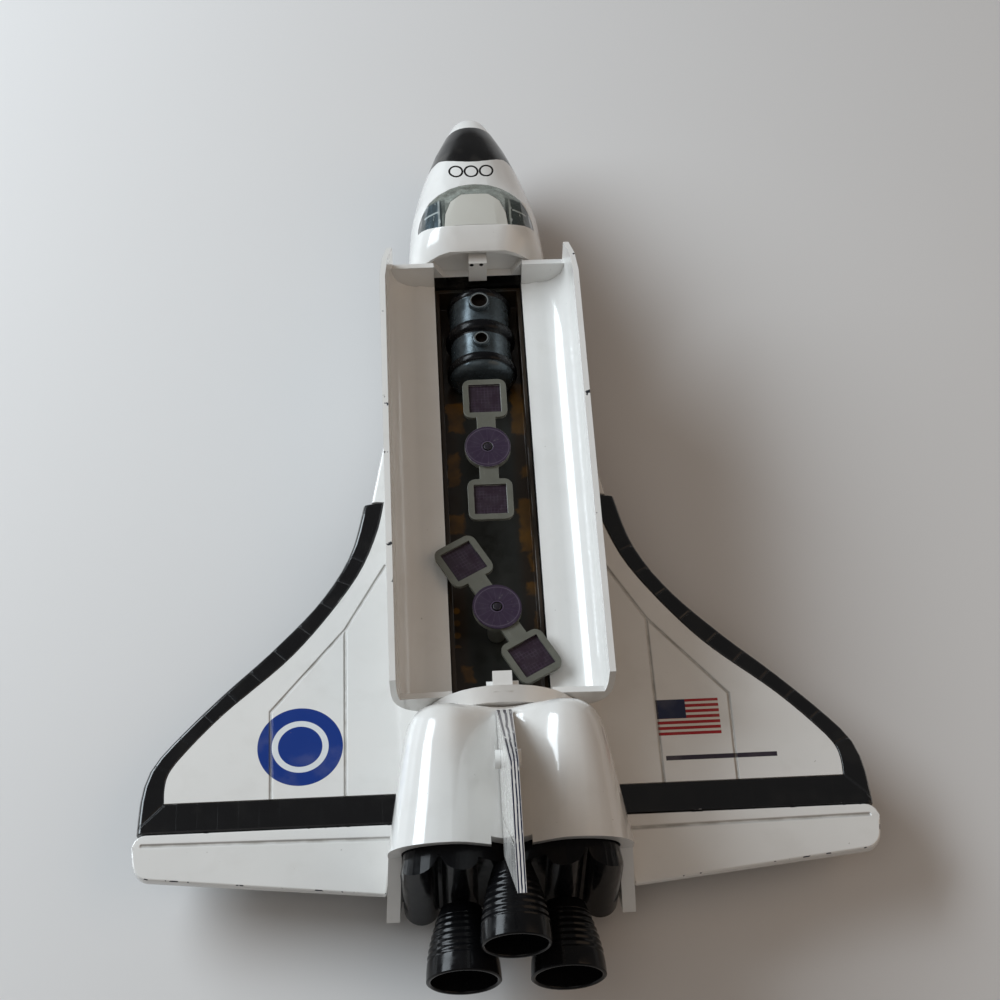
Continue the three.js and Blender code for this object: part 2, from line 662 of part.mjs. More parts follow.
// Engine bells: a hollow bell on a short neck
for (const { name, x, z, exitY, lip, neck, baseY } of BELLS) {
  const depth = baseY - exitY;
  const steps = 8;
  const flare = (t) => neck + (lip - neck) * Math.sin((t * Math.PI) / 2) ** 0.9;
  const outer = [];
  const bore = [];
  for (let i = 0; i <= steps; i++) {
    const t = i / steps;
    outer.push(new THREE.Vector2(flare(t), baseY - t * depth));
    if (t > 0.2) bore.unshift(new THREE.Vector2(flare(t) - BELL_WALL, baseY - t * depth));
  }
  const profile = [
    new THREE.Vector2(0, baseY), ...outer, ...bore, new THREE.Vector2(0, bore.at(-1).y),
  ];
  addPiece(name, solid(new THREE.LatheGeometry(profile, BELL_SIDES).translate(x, 0, z)), BLACK_GLOSS);
}

// Lab module with two ports
const labSolid = solid(
  new THREE.LatheGeometry(LAB_PROFILE.map(([y, r]) => new THREE.Vector2(r, y)), 32).translate(0, 0, LAB.z),
);
const lab = LAB_PORTS.reduce(
  (whole, { y, radius }) =>
    whole
      .add(rodZ(0, y, radius, LAB.z, PORT_TOP_Z))
      .subtract(rodZ(0, y, radius - 0.6, PORT_TOP_Z - 1.2, FAR)),
  labSolid,
).intersect(above(LAB.flatZ));
addPiece("lab_module", lab, LAB_GREY);

// Satellites: a disc and two framed panels on one bar, turning on a peg
function roundedSquare(y, half, corner) {
  const points = [];
  for (const [sx, sy, first] of [[1, 1, 0], [-1, 1, 1], [-1, -1, 2], [1, -1, 3]])
    for (let i = 0; i <= 4; i++) {
      const angle = ((first + i / 4) * Math.PI) / 2;
      points.push([
        sx * (half - corner) + corner * Math.cos(angle),
        y + sy * (half - corner) + corner * Math.sin(angle),
      ]);
    }
  return points;
}
for (const { name, y, turn } of SATELLITES) {
  const { frameReach, frameHalf, cellHalf, armHalf, bottomZ, topZ } = SAT;
  let satellite = rodZ(0, 0, SAT.discRadius, bottomZ, SAT.discTopZ, 32).add(
    block(-armHalf, armHalf, -frameReach, frameReach, bottomZ, topZ),
  );
  for (const end of [-frameReach, frameReach])
    satellite = satellite
      .add(slab(roundedSquare(end, frameHalf, SAT.corner), bottomZ, topZ))
      .subtract(
        block(-cellHalf, cellHalf, end - cellHalf, end + cellHalf, topZ - SAT.cellDepth, FAR),
      );
  satellite = satellite.subtract(rodZ(0, 0, SAT.hole, -FAR, FAR, 16));
  addPiece("satellite_" + name, satellite, SATELLITE_GREY, { y, turn });
  const peg = rodZ(0, y, PEG.radius, TUB.floorZ + GAP, PEG.shoulderZ, 16)
    .add(rodZ(0, y, PEG.pin, PEG.shoulderZ - 1, PEG.topZ, 16));
  addPiece("satellite_peg_" + name, peg, SATELLITE_GREY);
}

// Belly tray: the keel of the hull, a thin skin under each wing, and the lugs of the axles
const axleZ = (radius) => radius - WING_HEIGHT;
let belly = loft([...NOSE_SECTIONS, ...HULL_SECTIONS].map(bodyRing))
  .intersect(below(BELLY_TOP_Z))
  .intersect(above(BELLY_FLAT_Z));
for (const side of [-1, 1])
  belly = belly.add(slab(mirrored(SKIN_OUTLINE, side), SKIN.topZ - SKIN.thickness, SKIN.topZ));
for (const { y, radius, lugs, wells } of AXLES) {
  const z = axleZ(radius);
  const reach = radius + WELL_CLEARANCE;
  for (const [left, right] of wells)
    belly = belly.subtract(block(left, right, y - reach, y + reach, -FAR, z + reach));
  for (const [left, right] of lugs)
    belly = belly.add(
      block(left, right, y - LUG_HALF_LENGTH, y + LUG_HALF_LENGTH, z - LUG_REACH, z + reach + 0.2),
    );
  belly = belly.subtract(rodX(y, z, AXLE_HOLE, -FAR, FAR));
}
addPiece("belly_tray", belly, BLACK_PLASTIC);

// Wheels and axles
for (const { name, y, radius, innerX, outerX } of AXLES) {
  const z = axleZ(radius);
  addPiece(name + "_axle", rodX(y, z, AXLE_RADIUS, -outerX - 0.5, outerX + 0.5), STEEL);
  for (const [side, word] of [[-1, "left"], [1, "right"]]) {
    const [left, right] = [side * innerX, side * outerX].sort((a, b) => a - b);
    const outward = side > 0 ? [right - 0.6, right + 1] : [left - 1, left + 0.6];
    const wheel = rodX(y, z, radius, left, right, WHEEL_SIDES)
      .subtract(rodX(y, z, radius * 0.6, ...outward, WHEEL_SIDES))
      .subtract(rodX(y, z, AXLE_HOLE, -FAR, FAR));
    addPiece(name + "_wheel_" + word, wheel, BLACK_PLASTIC);
  }
}

toy.position.set(0, -(NOSE_TIP_Y + FIN_REAR_Y) / 2, WING_HEIGHT);
export default toy;
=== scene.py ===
import math

import bmesh
import bpy
from mathutils import Matrix, Vector


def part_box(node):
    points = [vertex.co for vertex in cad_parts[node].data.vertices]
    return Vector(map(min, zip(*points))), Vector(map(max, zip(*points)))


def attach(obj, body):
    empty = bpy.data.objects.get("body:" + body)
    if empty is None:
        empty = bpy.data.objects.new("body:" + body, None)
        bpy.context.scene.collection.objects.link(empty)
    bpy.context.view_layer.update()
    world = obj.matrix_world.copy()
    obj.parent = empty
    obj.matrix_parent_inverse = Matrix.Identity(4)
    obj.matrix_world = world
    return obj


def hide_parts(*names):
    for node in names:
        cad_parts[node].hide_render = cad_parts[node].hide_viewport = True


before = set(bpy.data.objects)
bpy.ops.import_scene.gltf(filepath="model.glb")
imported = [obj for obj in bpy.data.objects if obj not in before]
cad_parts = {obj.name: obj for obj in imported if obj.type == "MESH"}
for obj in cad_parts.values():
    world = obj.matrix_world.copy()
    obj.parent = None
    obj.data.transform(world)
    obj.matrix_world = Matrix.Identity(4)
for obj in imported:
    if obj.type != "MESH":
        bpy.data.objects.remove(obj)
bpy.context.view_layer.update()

# Floor, light and camera. The toy stands on its wheels on a plain pale floor, under a cool window
# light from the left and a warmer room light from the right, seen from above and behind the tail.
MM = 0.001
FLOOR_HALF = 3.0
FLOOR_COLOUR = (0.70, 0.685, 0.675)
CAMERA_PLACE = Vector((-0.0112095, -0.2058573, 0.3355962))
CAMERA_LENS = 72
CAMERA_SENSOR = 36
CAMERA_NEAREST = 0.01
CAMERA_HEADING = -0.0642
CAMERA_PITCH = 0.99733
CAMERA_ROLL = -0.01508
LIGHTS = {
    "window_light": {
        "place": (-0.43, 0.20, 0.33), "size": (0.50, 0.26), "watts": 3.7, "tint": (0.84, 0.93, 1.0),
    },
    "room_light": {
        "place": (0.55, -0.10, 0.50), "size": (0.6, 0.6), "watts": 0.8, "tint": (1.0, 0.70, 0.46),
    },
    "front_light": {
        "place": (-0.25, -0.30, 0.75), "size": (0.5, 0.5), "watts": 0.4, "tint": (1.0, 0.96, 0.90),
    },
}
SKY_TINT = (0.86, 0.84, 0.82, 1)
SKY_STRENGTH = 0.165


def put(tree, kind, inputs=(), **settings):
    made = tree.nodes.new(kind)
    for key, value in settings.items():
        setattr(made, key, value)
    for key, value in inputs.items() if isinstance(inputs, dict) else enumerate(inputs):
        if isinstance(value, bpy.types.NodeSocket):
            tree.links.new(value, made.inputs[key])
        else:
            made.inputs[key].default_value = value
    return made


def finish_of(name, **sockets):
    material = bpy.data.materials.new(name)
    material.use_nodes = True
    shader = material.node_tree.nodes["Principled BSDF"]
    for key, value in sockets.items():
        shader.inputs[key.replace("_", " ")].default_value = value
    return material, material.node_tree, shader


def object_of(name, bm, material):
    mesh = bpy.data.meshes.new(name)
    bm.to_mesh(mesh)
    bm.free()
    mesh.materials.append(material)
    made = bpy.data.objects.new(name, mesh)
    bpy.context.scene.collection.objects.link(made)
    return made


floor_paint, tree, shader = finish_of("pale_floor", Roughness=0.75)
coords = put(tree, "ShaderNodeTexCoord").outputs["Object"]
mottle = put(tree, "ShaderNodeTexNoise", {"Vector": coords, "Scale": 6, "Detail": 4}).outputs["Fac"]
tone = put(tree, "ShaderNodeMapRange", {"Value": mottle, "To Min": 0.97, "To Max": 1.03}).outputs[0]
tint = put(tree, "ShaderNodeVectorMath", {0: FLOOR_COLOUR, "Scale": tone}, operation="SCALE")
tree.links.new(tint.outputs[0], shader.inputs["Base Color"])
bm = bmesh.new()
bmesh.ops.create_grid(bm, x_segments=2, y_segments=2, size=FLOOR_HALF)
object_of("floor", bm, floor_paint)

for name, light in LIGHTS.items():
    lamp = bpy.data.lights.new(name, "AREA")
    lamp.shape = "RECTANGLE"
    lamp.size, lamp.size_y = light["size"]
    lamp.energy = light["watts"]
    lamp.color = light["tint"]
    hung = bpy.data.objects.new(name, lamp)
    hung.location = light["place"]
    hung.rotation_euler = (-Vector(light["place"])).to_track_quat("-Z", "Y").to_euler()
    bpy.context.scene.collection.objects.link(hung)
world = bpy.data.worlds.new("soft_room")
world.use_nodes = True
sky = world.node_tree.nodes["Background"]
sky.inputs["Color"].default_value = SKY_TINT
sky.inputs["Strength"].default_value = SKY_STRENGTH
bpy.context.scene.world = world
bpy.context.scene.view_settings.view_transform = "Standard"

right = Vector((math.cos(CAMERA_HEADING), math.sin(CAMERA_HEADING), 0))
ahead = Vector((-right.y, right.x, 0))
forward = math.cos(CAMERA_PITCH) * ahead - math.sin(CAMERA_PITCH) * Vector((0, 0, 1))
down = forward.cross(right)
across = math.cos(CAMERA_ROLL) * right + math.sin(CAMERA_ROLL) * down
drop = math.cos(CAMERA_ROLL) * down - math.sin(CAMERA_ROLL) * right
lens = bpy.data.cameras.new("camera")
lens.lens = CAMERA_LENS
lens.sensor_width = CAMERA_SENSOR
lens.clip_start = CAMERA_NEAREST
camera = bpy.data.objects.new("camera", lens)
facing = Matrix((across, -drop, -forward)).transposed().to_4x4()
camera.matrix_world = Matrix.Translation(CAMERA_PLACE) @ facing
bpy.context.scene.collection.objects.link(camera)
bpy.context.scene.camera = camera

# Nose and cockpit casting. Die-cast zinc under white enamel, sprayed black behind the tip, with
# three rings printed on it, painted shade in the pocket under the windows, and its rear face below
# the roof painted black as shadow. From here on the lengths are in millimetres in the toy's own
# frame.
ENAMEL = (0.82, 0.805, 0.775, 1)
ENAMEL_SHADE = (0.73, 0.715, 0.69, 1)
BLACK_ENAMEL = (0.003, 0.003, 0.0035, 1)
ENAMEL_GRIME = (0.19, 0.165, 0.13, 1)
ENAMEL_FILM = (0.42, 0.38, 0.32, 1)
ENAMEL_SPECKS = (0.20, 0.17, 0.14, 1)
BARE_EDGE = (0.02, 0.022, 0.03, 1)
GROOVE_DEPTH = 0.3
WELD = 0.004
FLAT_ANGLE = 0.5
KEEN_ANGLE = 35
SHADE_ANGLE = 40
WIDE_STEPS = 5
NOSE_PATCH = {"front": 89.0, "rear": 74.9, "sweep": 0.075, "most": 3.4, "lowest": 16.3}
NOSE_RINGS = {
    "x": -0.3, "y": 71.5, "pitch": 3.1, "radius": 1.32, "long": 1.38, "sweep": 0.05, "line": 0.21,
    "lowest": 20,
}
POCKET = {"y": 56.3, "half": 11.5, "reach": 10.1, "front": 54.3, "floor": (21.5, 22.3)}
# Dark paint for the pocket's floor under the windows, a painted shade.
POCKET_SHADE = (0.10, 0.12, 0.12, 1)
# Where the nose's rear face below the roof edge is painted black as shadow.
UNDER_ROOF_SHADE = {"front": 52, "top": 22.45, "half": 8.75}
NICKS = {"x": (-1.2, 0.7), "z": 27.6, "radius": 0.42, "front": 49.6}
# Black for the painted shadow under the roof and for the chips on the post.
SHADOW_AND_CHIP_BLACK = (0.006, 0.006, 0.006, 1)
NOSE_ROOF = [
    (49.6, 14.1, 30.4, 2.5), (51.6, 14.0, 31.9, 2.8), (54.0, 13.9, 32.9, 3.0), (62.5, 13.3, 32.6, 2.8),
]
WIDEST_Z = 15.0
ROOF_FLAT = 6.4
ROOF_SHOULDER = 9.8
ROOF_SKIN = 0.15
ROOF_DROP = 0.1
ROOF_SLACK = 0.1
ROOF_FADE = {"end": 58, "run": 5}


def maths(tree, operation, *inputs, **settings):
    return put(tree, "ShaderNodeMath", inputs, operation=operation, **settings).outputs[0]


def all_of(tree, *masks):
    product = masks[0]
    for mask in masks[1:]:
        product = maths(tree, "MULTIPLY", product, mask)
    return product


def any_of(tree, *masks):
    most = masks[0]
    for mask in masks[1:]:
        most = maths(tree, "MAXIMUM", most, mask)
    return most


def within(tree, value, low, high):
    return all_of(tree, maths(tree, "GREATER_THAN", value, low), maths(tree, "LESS_THAN", value, high))


def painted(tree, mask, over, under):
    return put(tree, "ShaderNodeMix", {0: mask, 6: under, 7: over}, data_type="RGBA").outputs[2]


def distance(tree, x, y):
    return maths(tree, "SQRT", maths(tree, "ADD", maths(tree, "POWER", x, 2), maths(tree, "POWER", y, 2)))


def in_mm(tree, turn=0.0, centre=(0, 0, 0)):
    coords = put(tree, "ShaderNodeTexCoord").outputs["Object"]
    moved = put(tree, "ShaderNodeVectorMath", (coords, centre), operation="SUBTRACT").outputs[0]
    turned = put(tree, "ShaderNodeVectorRotate", {"Vector": moved, "Angle": -turn}).outputs[0]
    grown = put(tree, "ShaderNodeVectorMath", {0: turned, "Scale": 1 / MM}, operation="SCALE").outputs[0]
    parts = put(tree, "ShaderNodeSeparateXYZ", (grown,))
    return grown, parts.outputs[0], parts.outputs[1], parts.outputs[2]


def noise(tree, vector, scale, detail=3.0, seed=0.0):
    moved = put(tree, "ShaderNodeVectorMath", (vector, (seed, seed, seed)), operation="ADD").outputs[0]
    settings = {"Vector": moved, "Scale": scale, "Detail": detail}
    return put(tree, "ShaderNodeTexNoise", settings).outputs["Fac"]


def ranged(tree, value, low, high, to_low=0.0, to_high=1.0):
    settings = {"Value": value, "From Min": low, "From Max": high, "To Min": to_low, "To Max": to_high}
    return put(tree, "ShaderNodeMapRange", settings, interpolation_type="SMOOTHSTEP").outputs[0]


def line_near(tree, x, y, start, end):
    run_x, run_y = end[0] - start[0], end[1] - start[1]
    span = run_x ** 2 + run_y ** 2
    along = maths(
        tree, "ADD",
        maths(tree, "MULTIPLY", maths(tree, "SUBTRACT", x, start[0]), run_x / span),
        maths(tree, "MULTIPLY", maths(tree, "SUBTRACT", y, start[1]), run_y / span),
        use_clamp=True,
    )
    off_x = maths(tree, "SUBTRACT", x, maths(tree, "MULTIPLY_ADD", along, run_x, start[0]))
    off_y = maths(tree, "SUBTRACT", y, maths(tree, "MULTIPLY_ADD", along, run_y, start[1]))
    return distance(tree, off_x, off_y)


def grooved(tree, x, y, lines, half):
    nearest = line_near(tree, x, y, *lines[0])
    for start, end in lines[1:]:
        nearest = maths(tree, "MINIMUM", nearest, line_near(tree, x, y, start, end))
    return ranged(tree, nearest, 0.0, half, 1.0, 0.0)


def enamel(name, marks=None, *, wear, base=ENAMEL, shade=ENAMEL_SHADE, bare=BARE_EDGE, gloss=0.13,
           relief=None, grime=ENAMEL_GRIME, specular=0.5, coat=0.5, film=0.08):
    material, tree, shader = finish_of(
        name, Coat_Weight=coat, Coat_Roughness=0.04, Specular_IOR_Level=specular,
    )
    place, x, y, z = in_mm(tree)
    colour = painted(tree, noise(tree, place, 0.06, 3), shade, base)
    if marks:
        for mask, ink, *matt in marks(tree, x, y, z):
            colour = painted(tree, mask, ink, colour)
            if matt:
                coated = maths(tree, "MULTIPLY_ADD", mask, -coat, coat)
                tree.links.new(coated, shader.inputs["Coat Weight"])
    normal = None
    if relief:
        cut = relief(tree, x, y, z)
        dirt = ranged(tree, noise(tree, place, 0.3, 3, 21.0), 0.3, 0.7, 0.3, 0.7)
        colour = painted(tree, maths(tree, "MULTIPLY", cut, dirt), grime, colour)
        uncut = maths(tree, "SUBTRACT", 1.0, cut)
        groove = {"Height": uncut, "Strength": 1.0, "Distance": GROOVE_DEPTH * MM}
        normal = put(tree, "ShaderNodeBump", groove).outputs[0]
    dull = ranged(tree, noise(tree, place, 0.16, 5, 17.0), 0.5, 0.72, 0.0, film)
    colour = painted(tree, dull, ENAMEL_FILM, colour)
    specks = maths(tree, "GREATER_THAN", noise(tree, place, 1.1, 2, 7.0), 0.775)
    colour = painted(tree, maths(tree, "MULTIPLY", specks, 0.4), ENAMEL_SPECKS, colour)
    edge = put(tree, "ShaderNodeAttribute", attribute_name="edge").outputs["Fac"]
    flakes = noise(tree, place, 0.55, 4, 3.0)
    chip = ranged(tree, maths(tree, "MULTIPLY", edge, flakes), 1.0 - wear, 1.02 - wear)
    colour = painted(tree, chip, bare, colour)
    tree.links.new(colour, shader.inputs["Base Color"])
    smear = noise(tree, place, 0.22, 4, 11.0)
    rough = maths(tree, "MULTIPLY_ADD", chip, 0.25, ranged(tree, smear, 0.3, 0.7, gloss, gloss + 0.12))
    tree.links.new(rough, shader.inputs["Roughness"])
    skin = {"Height": noise(tree, place, 0.45, 2, 5.0), "Strength": 0.05, "Distance": 0.2 * MM}
    peel = put(tree, "ShaderNodeBump", skin)
    if normal:
        tree.links.new(normal, peel.inputs["Normal"])
    tree.links.new(peel.outputs[0], shader.inputs["Normal"])
    return material


def bevelled(bm, edges, offset, steps):
    made = bmesh.ops.bevel(
        bm, geom=edges, offset=offset * MM, offset_type="OFFSET", segments=steps, profile=0.5,
        affect="EDGES", clamp_overlap=True, material=-1,
    )
    rounded = set(made["faces"])
    layer = bm.verts.layers.float.get("edge") or bm.verts.layers.float.new("edge")
    for vert in made["verts"]:
        if vert.is_valid and all(face in rounded for face in vert.link_faces):
            vert[layer] = 1.0


def round_edges(bm, rounding, steps, wide=None, wide_rounding=None, wide_sharp=KEEN_ANGLE):
    def keen(least):
        folds = [edge for edge in bm.edges if len(edge.link_faces) == 2]
        return [edge for edge in folds if edge.calc_face_angle() > math.radians(least)]

    layer = bm.verts.layers.float.get("edge") or bm.verts.layers.float.new("edge")
    if wide:
        bevelled(bm, [edge for edge in keen(wide_sharp) if wide(edge)], wide_rounding, WIDE_STEPS)
    unrounded = [edge for edge in keen(KEEN_ANGLE) if not any(vert[layer] for vert in edge.verts)]
    bevelled(bm, unrounded, rounding, steps)


def smoothed(made):
    made.data.shade_smooth()
    made.data.set_sharp_from_angle(angle=math.radians(SHADE_ANGLE))
    weigh = made.modifiers.new("even_shading", "WEIGHTED_NORMAL")
    weigh.keep_sharp = True
    return made


def node_mesh(node):
    bm = bmesh.new()
    bm.from_mesh(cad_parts[node].data)
    bmesh.ops.remove_doubles(bm, verts=bm.verts, dist=WELD * MM)
    bmesh.ops.dissolve_degenerate(bm, edges=bm.edges, dist=WELD * MM)
    bmesh.ops.dissolve_limit(bm, angle_limit=math.radians(FLAT_ANGLE), verts=bm.verts, edges=bm.edges)
    return bm


def fitted(bm, name, node, body, material):
    made = smoothed(object_of(name, bm, material))
    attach(made, body)
    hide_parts(node)


def casting(node, body, slot, material, rounding, steps=2, shape=None, **wide):
    bm = node_mesh(node)
    if shape:
        shape(bm)
    round_edges(bm, rounding, steps, **wide)
    fitted(bm, node + "_shell", node, body, material)


def flat_roof(bm):
    for vert in bm.verts:
        x, y, z = vert.co / MM
        if not (NOSE_ROOF[0][0] - ROOF_SLACK < y < NOSE_ROOF[-1][0] and abs(x) < ROOF_SHOULDER):
            continue
        for near, far in zip(NOSE_ROOF, NOSE_ROOF[1:]):
            if near[0] - ROOF_SLACK <= y <= far[0]:
                part = (y - near[0]) / (far[0] - near[0])
                half, top, power = (a + part * (b - a) for a, b in zip(near[1:], far[1:]))

        def skin(out):
            return WIDEST_Z + (top - WIDEST_Z) * (1 - (out / half) ** power) ** (1 / power)

        if abs(z - skin(abs(x))) > ROOF_SKIN:
            continue
        slope = max(0, abs(x) - ROOF_FLAT) / (ROOF_SHOULDER - ROOF_FLAT)
        flat = top - ROOF_DROP - slope * (top - ROOF_DROP - skin(ROOF_SHOULDER))
        hold = min(1, max(0, (ROOF_FADE["end"] - y) / ROOF_FADE["run"]))
        vert.co.z = (z + hold * (max(z, flat) - z)) * MM


def nose_marks(tree, x, y, z):
    square = maths(tree, "POWER", x, 2)
    bow = maths(tree, "MINIMUM", maths(tree, "MULTIPLY", square, NOSE_PATCH["sweep"]), NOSE_PATCH["most"])
    patch = all_of(
        tree,
        maths(tree, "GREATER_THAN", y, maths(tree, "ADD", bow, NOSE_PATCH["rear"])),
        maths(tree, "LESS_THAN", y, NOSE_PATCH["front"]),
        maths(tree, "GREATER_THAN", z, NOSE_PATCH["lowest"]),
    )
    from_centre = maths(tree, "SUBTRACT", x, NOSE_RINGS["x"])
    beside = maths(tree, "PINGPONG", from_centre, NOSE_RINGS["pitch"] / 2)
    near = maths(tree, "LESS_THAN", maths(tree, "ABSOLUTE", from_centre), 1.5 * NOSE_RINGS["pitch"])
    row = maths(tree, "MULTIPLY_ADD", square, NOSE_RINGS["sweep"], NOSE_RINGS["y"])
    off = distance(tree, beside, maths(tree, "DIVIDE", maths(tree, "SUBTRACT", y, row), NOSE_RINGS["long"]))
    line = maths(tree, "ABSOLUTE", maths(tree, "SUBTRACT", off, NOSE_RINGS["radius"]))
    rings = all_of(
        tree,
        near,
        maths(tree, "LESS_THAN", line, NOSE_RINGS["line"]),
        maths(tree, "GREATER_THAN", z, NOSE_RINGS["lowest"]),
    )
    inside = distance(
        tree,
        maths(tree, "DIVIDE", x, POCKET["half"]),
        maths(tree, "DIVIDE", maths(tree, "SUBTRACT", y, POCKET["y"]), POCKET["reach"]),
    )
    # Painted shade: the pocket's floor under the windows is painted dark.
    pocket = all_of(
        tree,
        maths(tree, "LESS_THAN", inside, 1.0),
        maths(tree, "GREATER_THAN", y, POCKET["front"]),
        within(tree, z, *POCKET["floor"]),
    )
    # Painted shadow: the rear face under the roof's edge, above the bay, is painted black.
    under_roof_shade = all_of(
        tree,
        maths(tree, "LESS_THAN", y, UNDER_ROOF_SHADE["front"]),
        maths(tree, "LESS_THAN", z, UNDER_ROOF_SHADE["top"]),
        maths(tree, "LESS_THAN", maths(tree, "ABSOLUTE", x), UNDER_ROOF_SHADE["half"]),
    )
    nicks = [distance(tree, maths(tree, "SUBTRACT", x, nick), maths(tree, "SUBTRACT", z, NICKS["z"]))
             for nick in NICKS["x"]]
    chips = all_of(
        tree,
        maths(tree, "LESS_THAN", maths(tree, "MINIMUM", *nicks), NICKS["radius"]),
        maths(tree, "LESS_THAN", y, NICKS["front"]),
    )
    return [
        (rings, BLACK_ENAMEL),
        (patch, BLACK_ENAMEL, "matt"),
        (pocket, POCKET_SHADE),
        (any_of(tree, under_roof_shade, chips), SHADOW_AND_CHIP_BLACK),
    ]


casting("nose_body", "airframe", "white_paint",
        enamel("nose_enamel", nose_marks, wear=0.3, specular=0.35), 0.3, 3, shape=flat_roof)

# Cockpit windows and roof panel. One clear moulding that wraps round a cream plastic panel, both
# pressed into the nose's pocket. The posts and the crossbar between the panes are tints in it; the
# side panes also carry painted reflection and painted shade, different on the left and the right,
# and painted highlights as glints and along the rim.
GLASS_LIGHT = (0.62, 0.66, 0.60, 1)
GLASS_DEEP = (0.42, 0.47, 0.43, 1)
GLASS_DARK_STREAK = (0.02, 0.03, 0.03, 1)
GLASS_BAR_AND_GLINT = (0.66, 0.72, 0.70, 1)
CREAM = (0.60, 0.585, 0.53, 1)
CREAM_SHADE = (0.52, 0.51, 0.465, 1)
PANES = {
    "front": 62.0,
    "fade": 0.4,
    "bar": (58.68, 59.12),
    "bar_span": (7.4, 10.2),
    "glint_span": (6.9, 11),
    # Bands across the side panes: low and high distance from the middle, left colour, right colour, and
    # hold. The left and right colours are the panes' tint with painted reflection and painted shade, so the
    # two sides differ.
    "bands": [
        (6.0, 6.7, (0.30, 0.33, 0.30, 1), (0.10, 0.12, 0.10, 1), 0.6),
        (6.7, 7.1, (0.03, 0.04, 0.04, 1), (0.42, 0.46, 0.42, 1), 0.85),
        (7.1, 7.5, (0.50, 0.55, 0.55, 1), (0.03, 0.04, 0.035, 1), 0.85),
        (7.5, 10.0, (0.105, 0.155, 0.19, 1), (0.035, 0.055, 0.045, 1), 0.9),
        (10.0, 12.0, (0.012, 0.028, 0.03, 1), (0.015, 0.025, 0.02, 1), 0.95),
    ],
}
glass, tree, shader = finish_of("clear_moulding", IOR=1.5, Coat_Weight=1.0, Coat_Roughness=0.02)
place, x, y, z = in_mm(tree)
haze = ranged(tree, noise(tree, place, 0.5, 5, 3.0), 0.35, 0.75, 0.03, 0.16)
tree.links.new(haze, shader.inputs["Roughness"])
# The rounded rim gets a painted highlight and is made more opaque.
rim = put(tree, "ShaderNodeAttribute", attribute_name="edge").outputs["Fac"]
across = maths(tree, "ABSOLUTE", x)
side_glass = ranged(tree, y, PANES["front"] - PANES["fade"], PANES["front"] + PANES["fade"], 1.0, 0.0)
streak = put(tree, "ShaderNodeCombineXYZ", (x, maths(tree, "MULTIPLY", y, 0.3), z)).outputs[0]
colour = painted(tree, noise(tree, place, 0.5, 3), GLASS_LIGHT, GLASS_DEEP)
cover = ranged(tree, noise(tree, place, 0.7, 3, 8.0), 0.35, 0.7, 0.22, 0.5)
dark_streaks = ranged(tree, noise(tree, streak, 0.55, 4, 41.0), 0.35, 0.65, 0.0, 0.75)
# Each band takes its side's tint and painted light, with darker streaks along it.
for low, high, left_tint_and_painted_light, right_tint_and_painted_light, hold in PANES["bands"]:
    band = all_of(tree, side_glass, within(tree, across, low, high))
    ink = painted(tree, maths(tree, "GREATER_THAN", x, 0.0), right_tint_and_painted_light, left_tint_and_painted_light)
    colour = painted(tree, band, painted(tree, dark_streaks, GLASS_DARK_STREAK, ink), colour)
    cover = maths(tree, "MAXIMUM", cover, maths(tree, "MULTIPLY", band, hold))
bar = all_of(tree, side_glass, within(tree, y, *PANES["bar"]), within(tree, across, *PANES["bar_span"]))
glints = all_of(
    tree,
    side_glass,
    ranged(tree, noise(tree, streak, 1.3, 3, 5.0), 0.62, 0.68),
    within(tree, across, *PANES["glint_span"]),
)
# The crossbar is a pale tint; the glints and the rim are painted highlights in the same pale colour.
bright = maths(tree, "MULTIPLY", any_of(tree, bar, glints, rim), 0.6)
colour = painted(tree, bright, GLASS_BAR_AND_GLINT, colour)
tree.links.new(colour, shader.inputs["Base Color"])
tree.links.new(maths(tree, "MAXIMUM", cover, maths(tree, "MULTIPLY", rim, 0.75)), shader.inputs["Alpha"])
ripple = {"Height": noise(tree, place, 0.55, 3), "Strength": 0.5, "Distance": 0.2 * MM}
tree.links.new(put(tree, "ShaderNodeBump", ripple).outputs[0], shader.inputs["Normal"])
casting("cockpit_glass", "airframe", "clear_window", glass, 0.25, 3)
casting("cockpit_roof", "airframe", "cream_plastic",
        enamel("roof_cream", wear=0.1, base=CREAM, shade=CREAM_SHADE, gloss=0.3, coat=0.1), 0.3, 3)

# Payload bay. Two white side walls of the body casting and a dark tub between them, its floor
# printed with ochre patches on a greenish black, and made browner and darker towards both walls.
DOOR_CENTRE = (6.4, 33.1)
DOOR_REACH = (11.9, 11.6)
DOOR_POWER = 2.8
DOOR_CORNER = 4.2
DOOR_PIVOT = (10.75, 22.55)
DOOR_PIN_CLEAR = 1.1
LEDGE_SPAN = (1.05, 1.16)
FLOOR_PATCHES = [
    (-7.4, -3.9, 18.0, 25.1), (-7.9, -5.0, 5.2, 13.0), (-8.1, -4.7, -5.9, -0.9), (-6.7, -4.5, -36.8, -33.9),
    (5.4, 8.2, 17.1, 29.3), (6.2, 8.2, 6.8, 9.8), (5.4, 8.2, -10.0, 2.0), (6.9, 8.0, -14.3, -10.0),
    (6.3, 8.4, -19.8, -16.8), (7.2, 8.0, -26.9, -22.8),
]
FLOOR_DOTS = {"x": -7.2, "first": -30.0, "last": -21.0, "pitch": 2.6, "radius": 0.85}
FLOOR_TOP_Z = 13.6
FLOOR_GREEN = (0.030, 0.031, 0.026, 1)
FLOOR_GREEN_SHADE = (0.014, 0.015, 0.012, 1)
FLOOR_BROWN = (0.034, 0.018, 0.007, 1)
FLOOR_OCHRE = (0.20, 0.088, 0.006, 1)


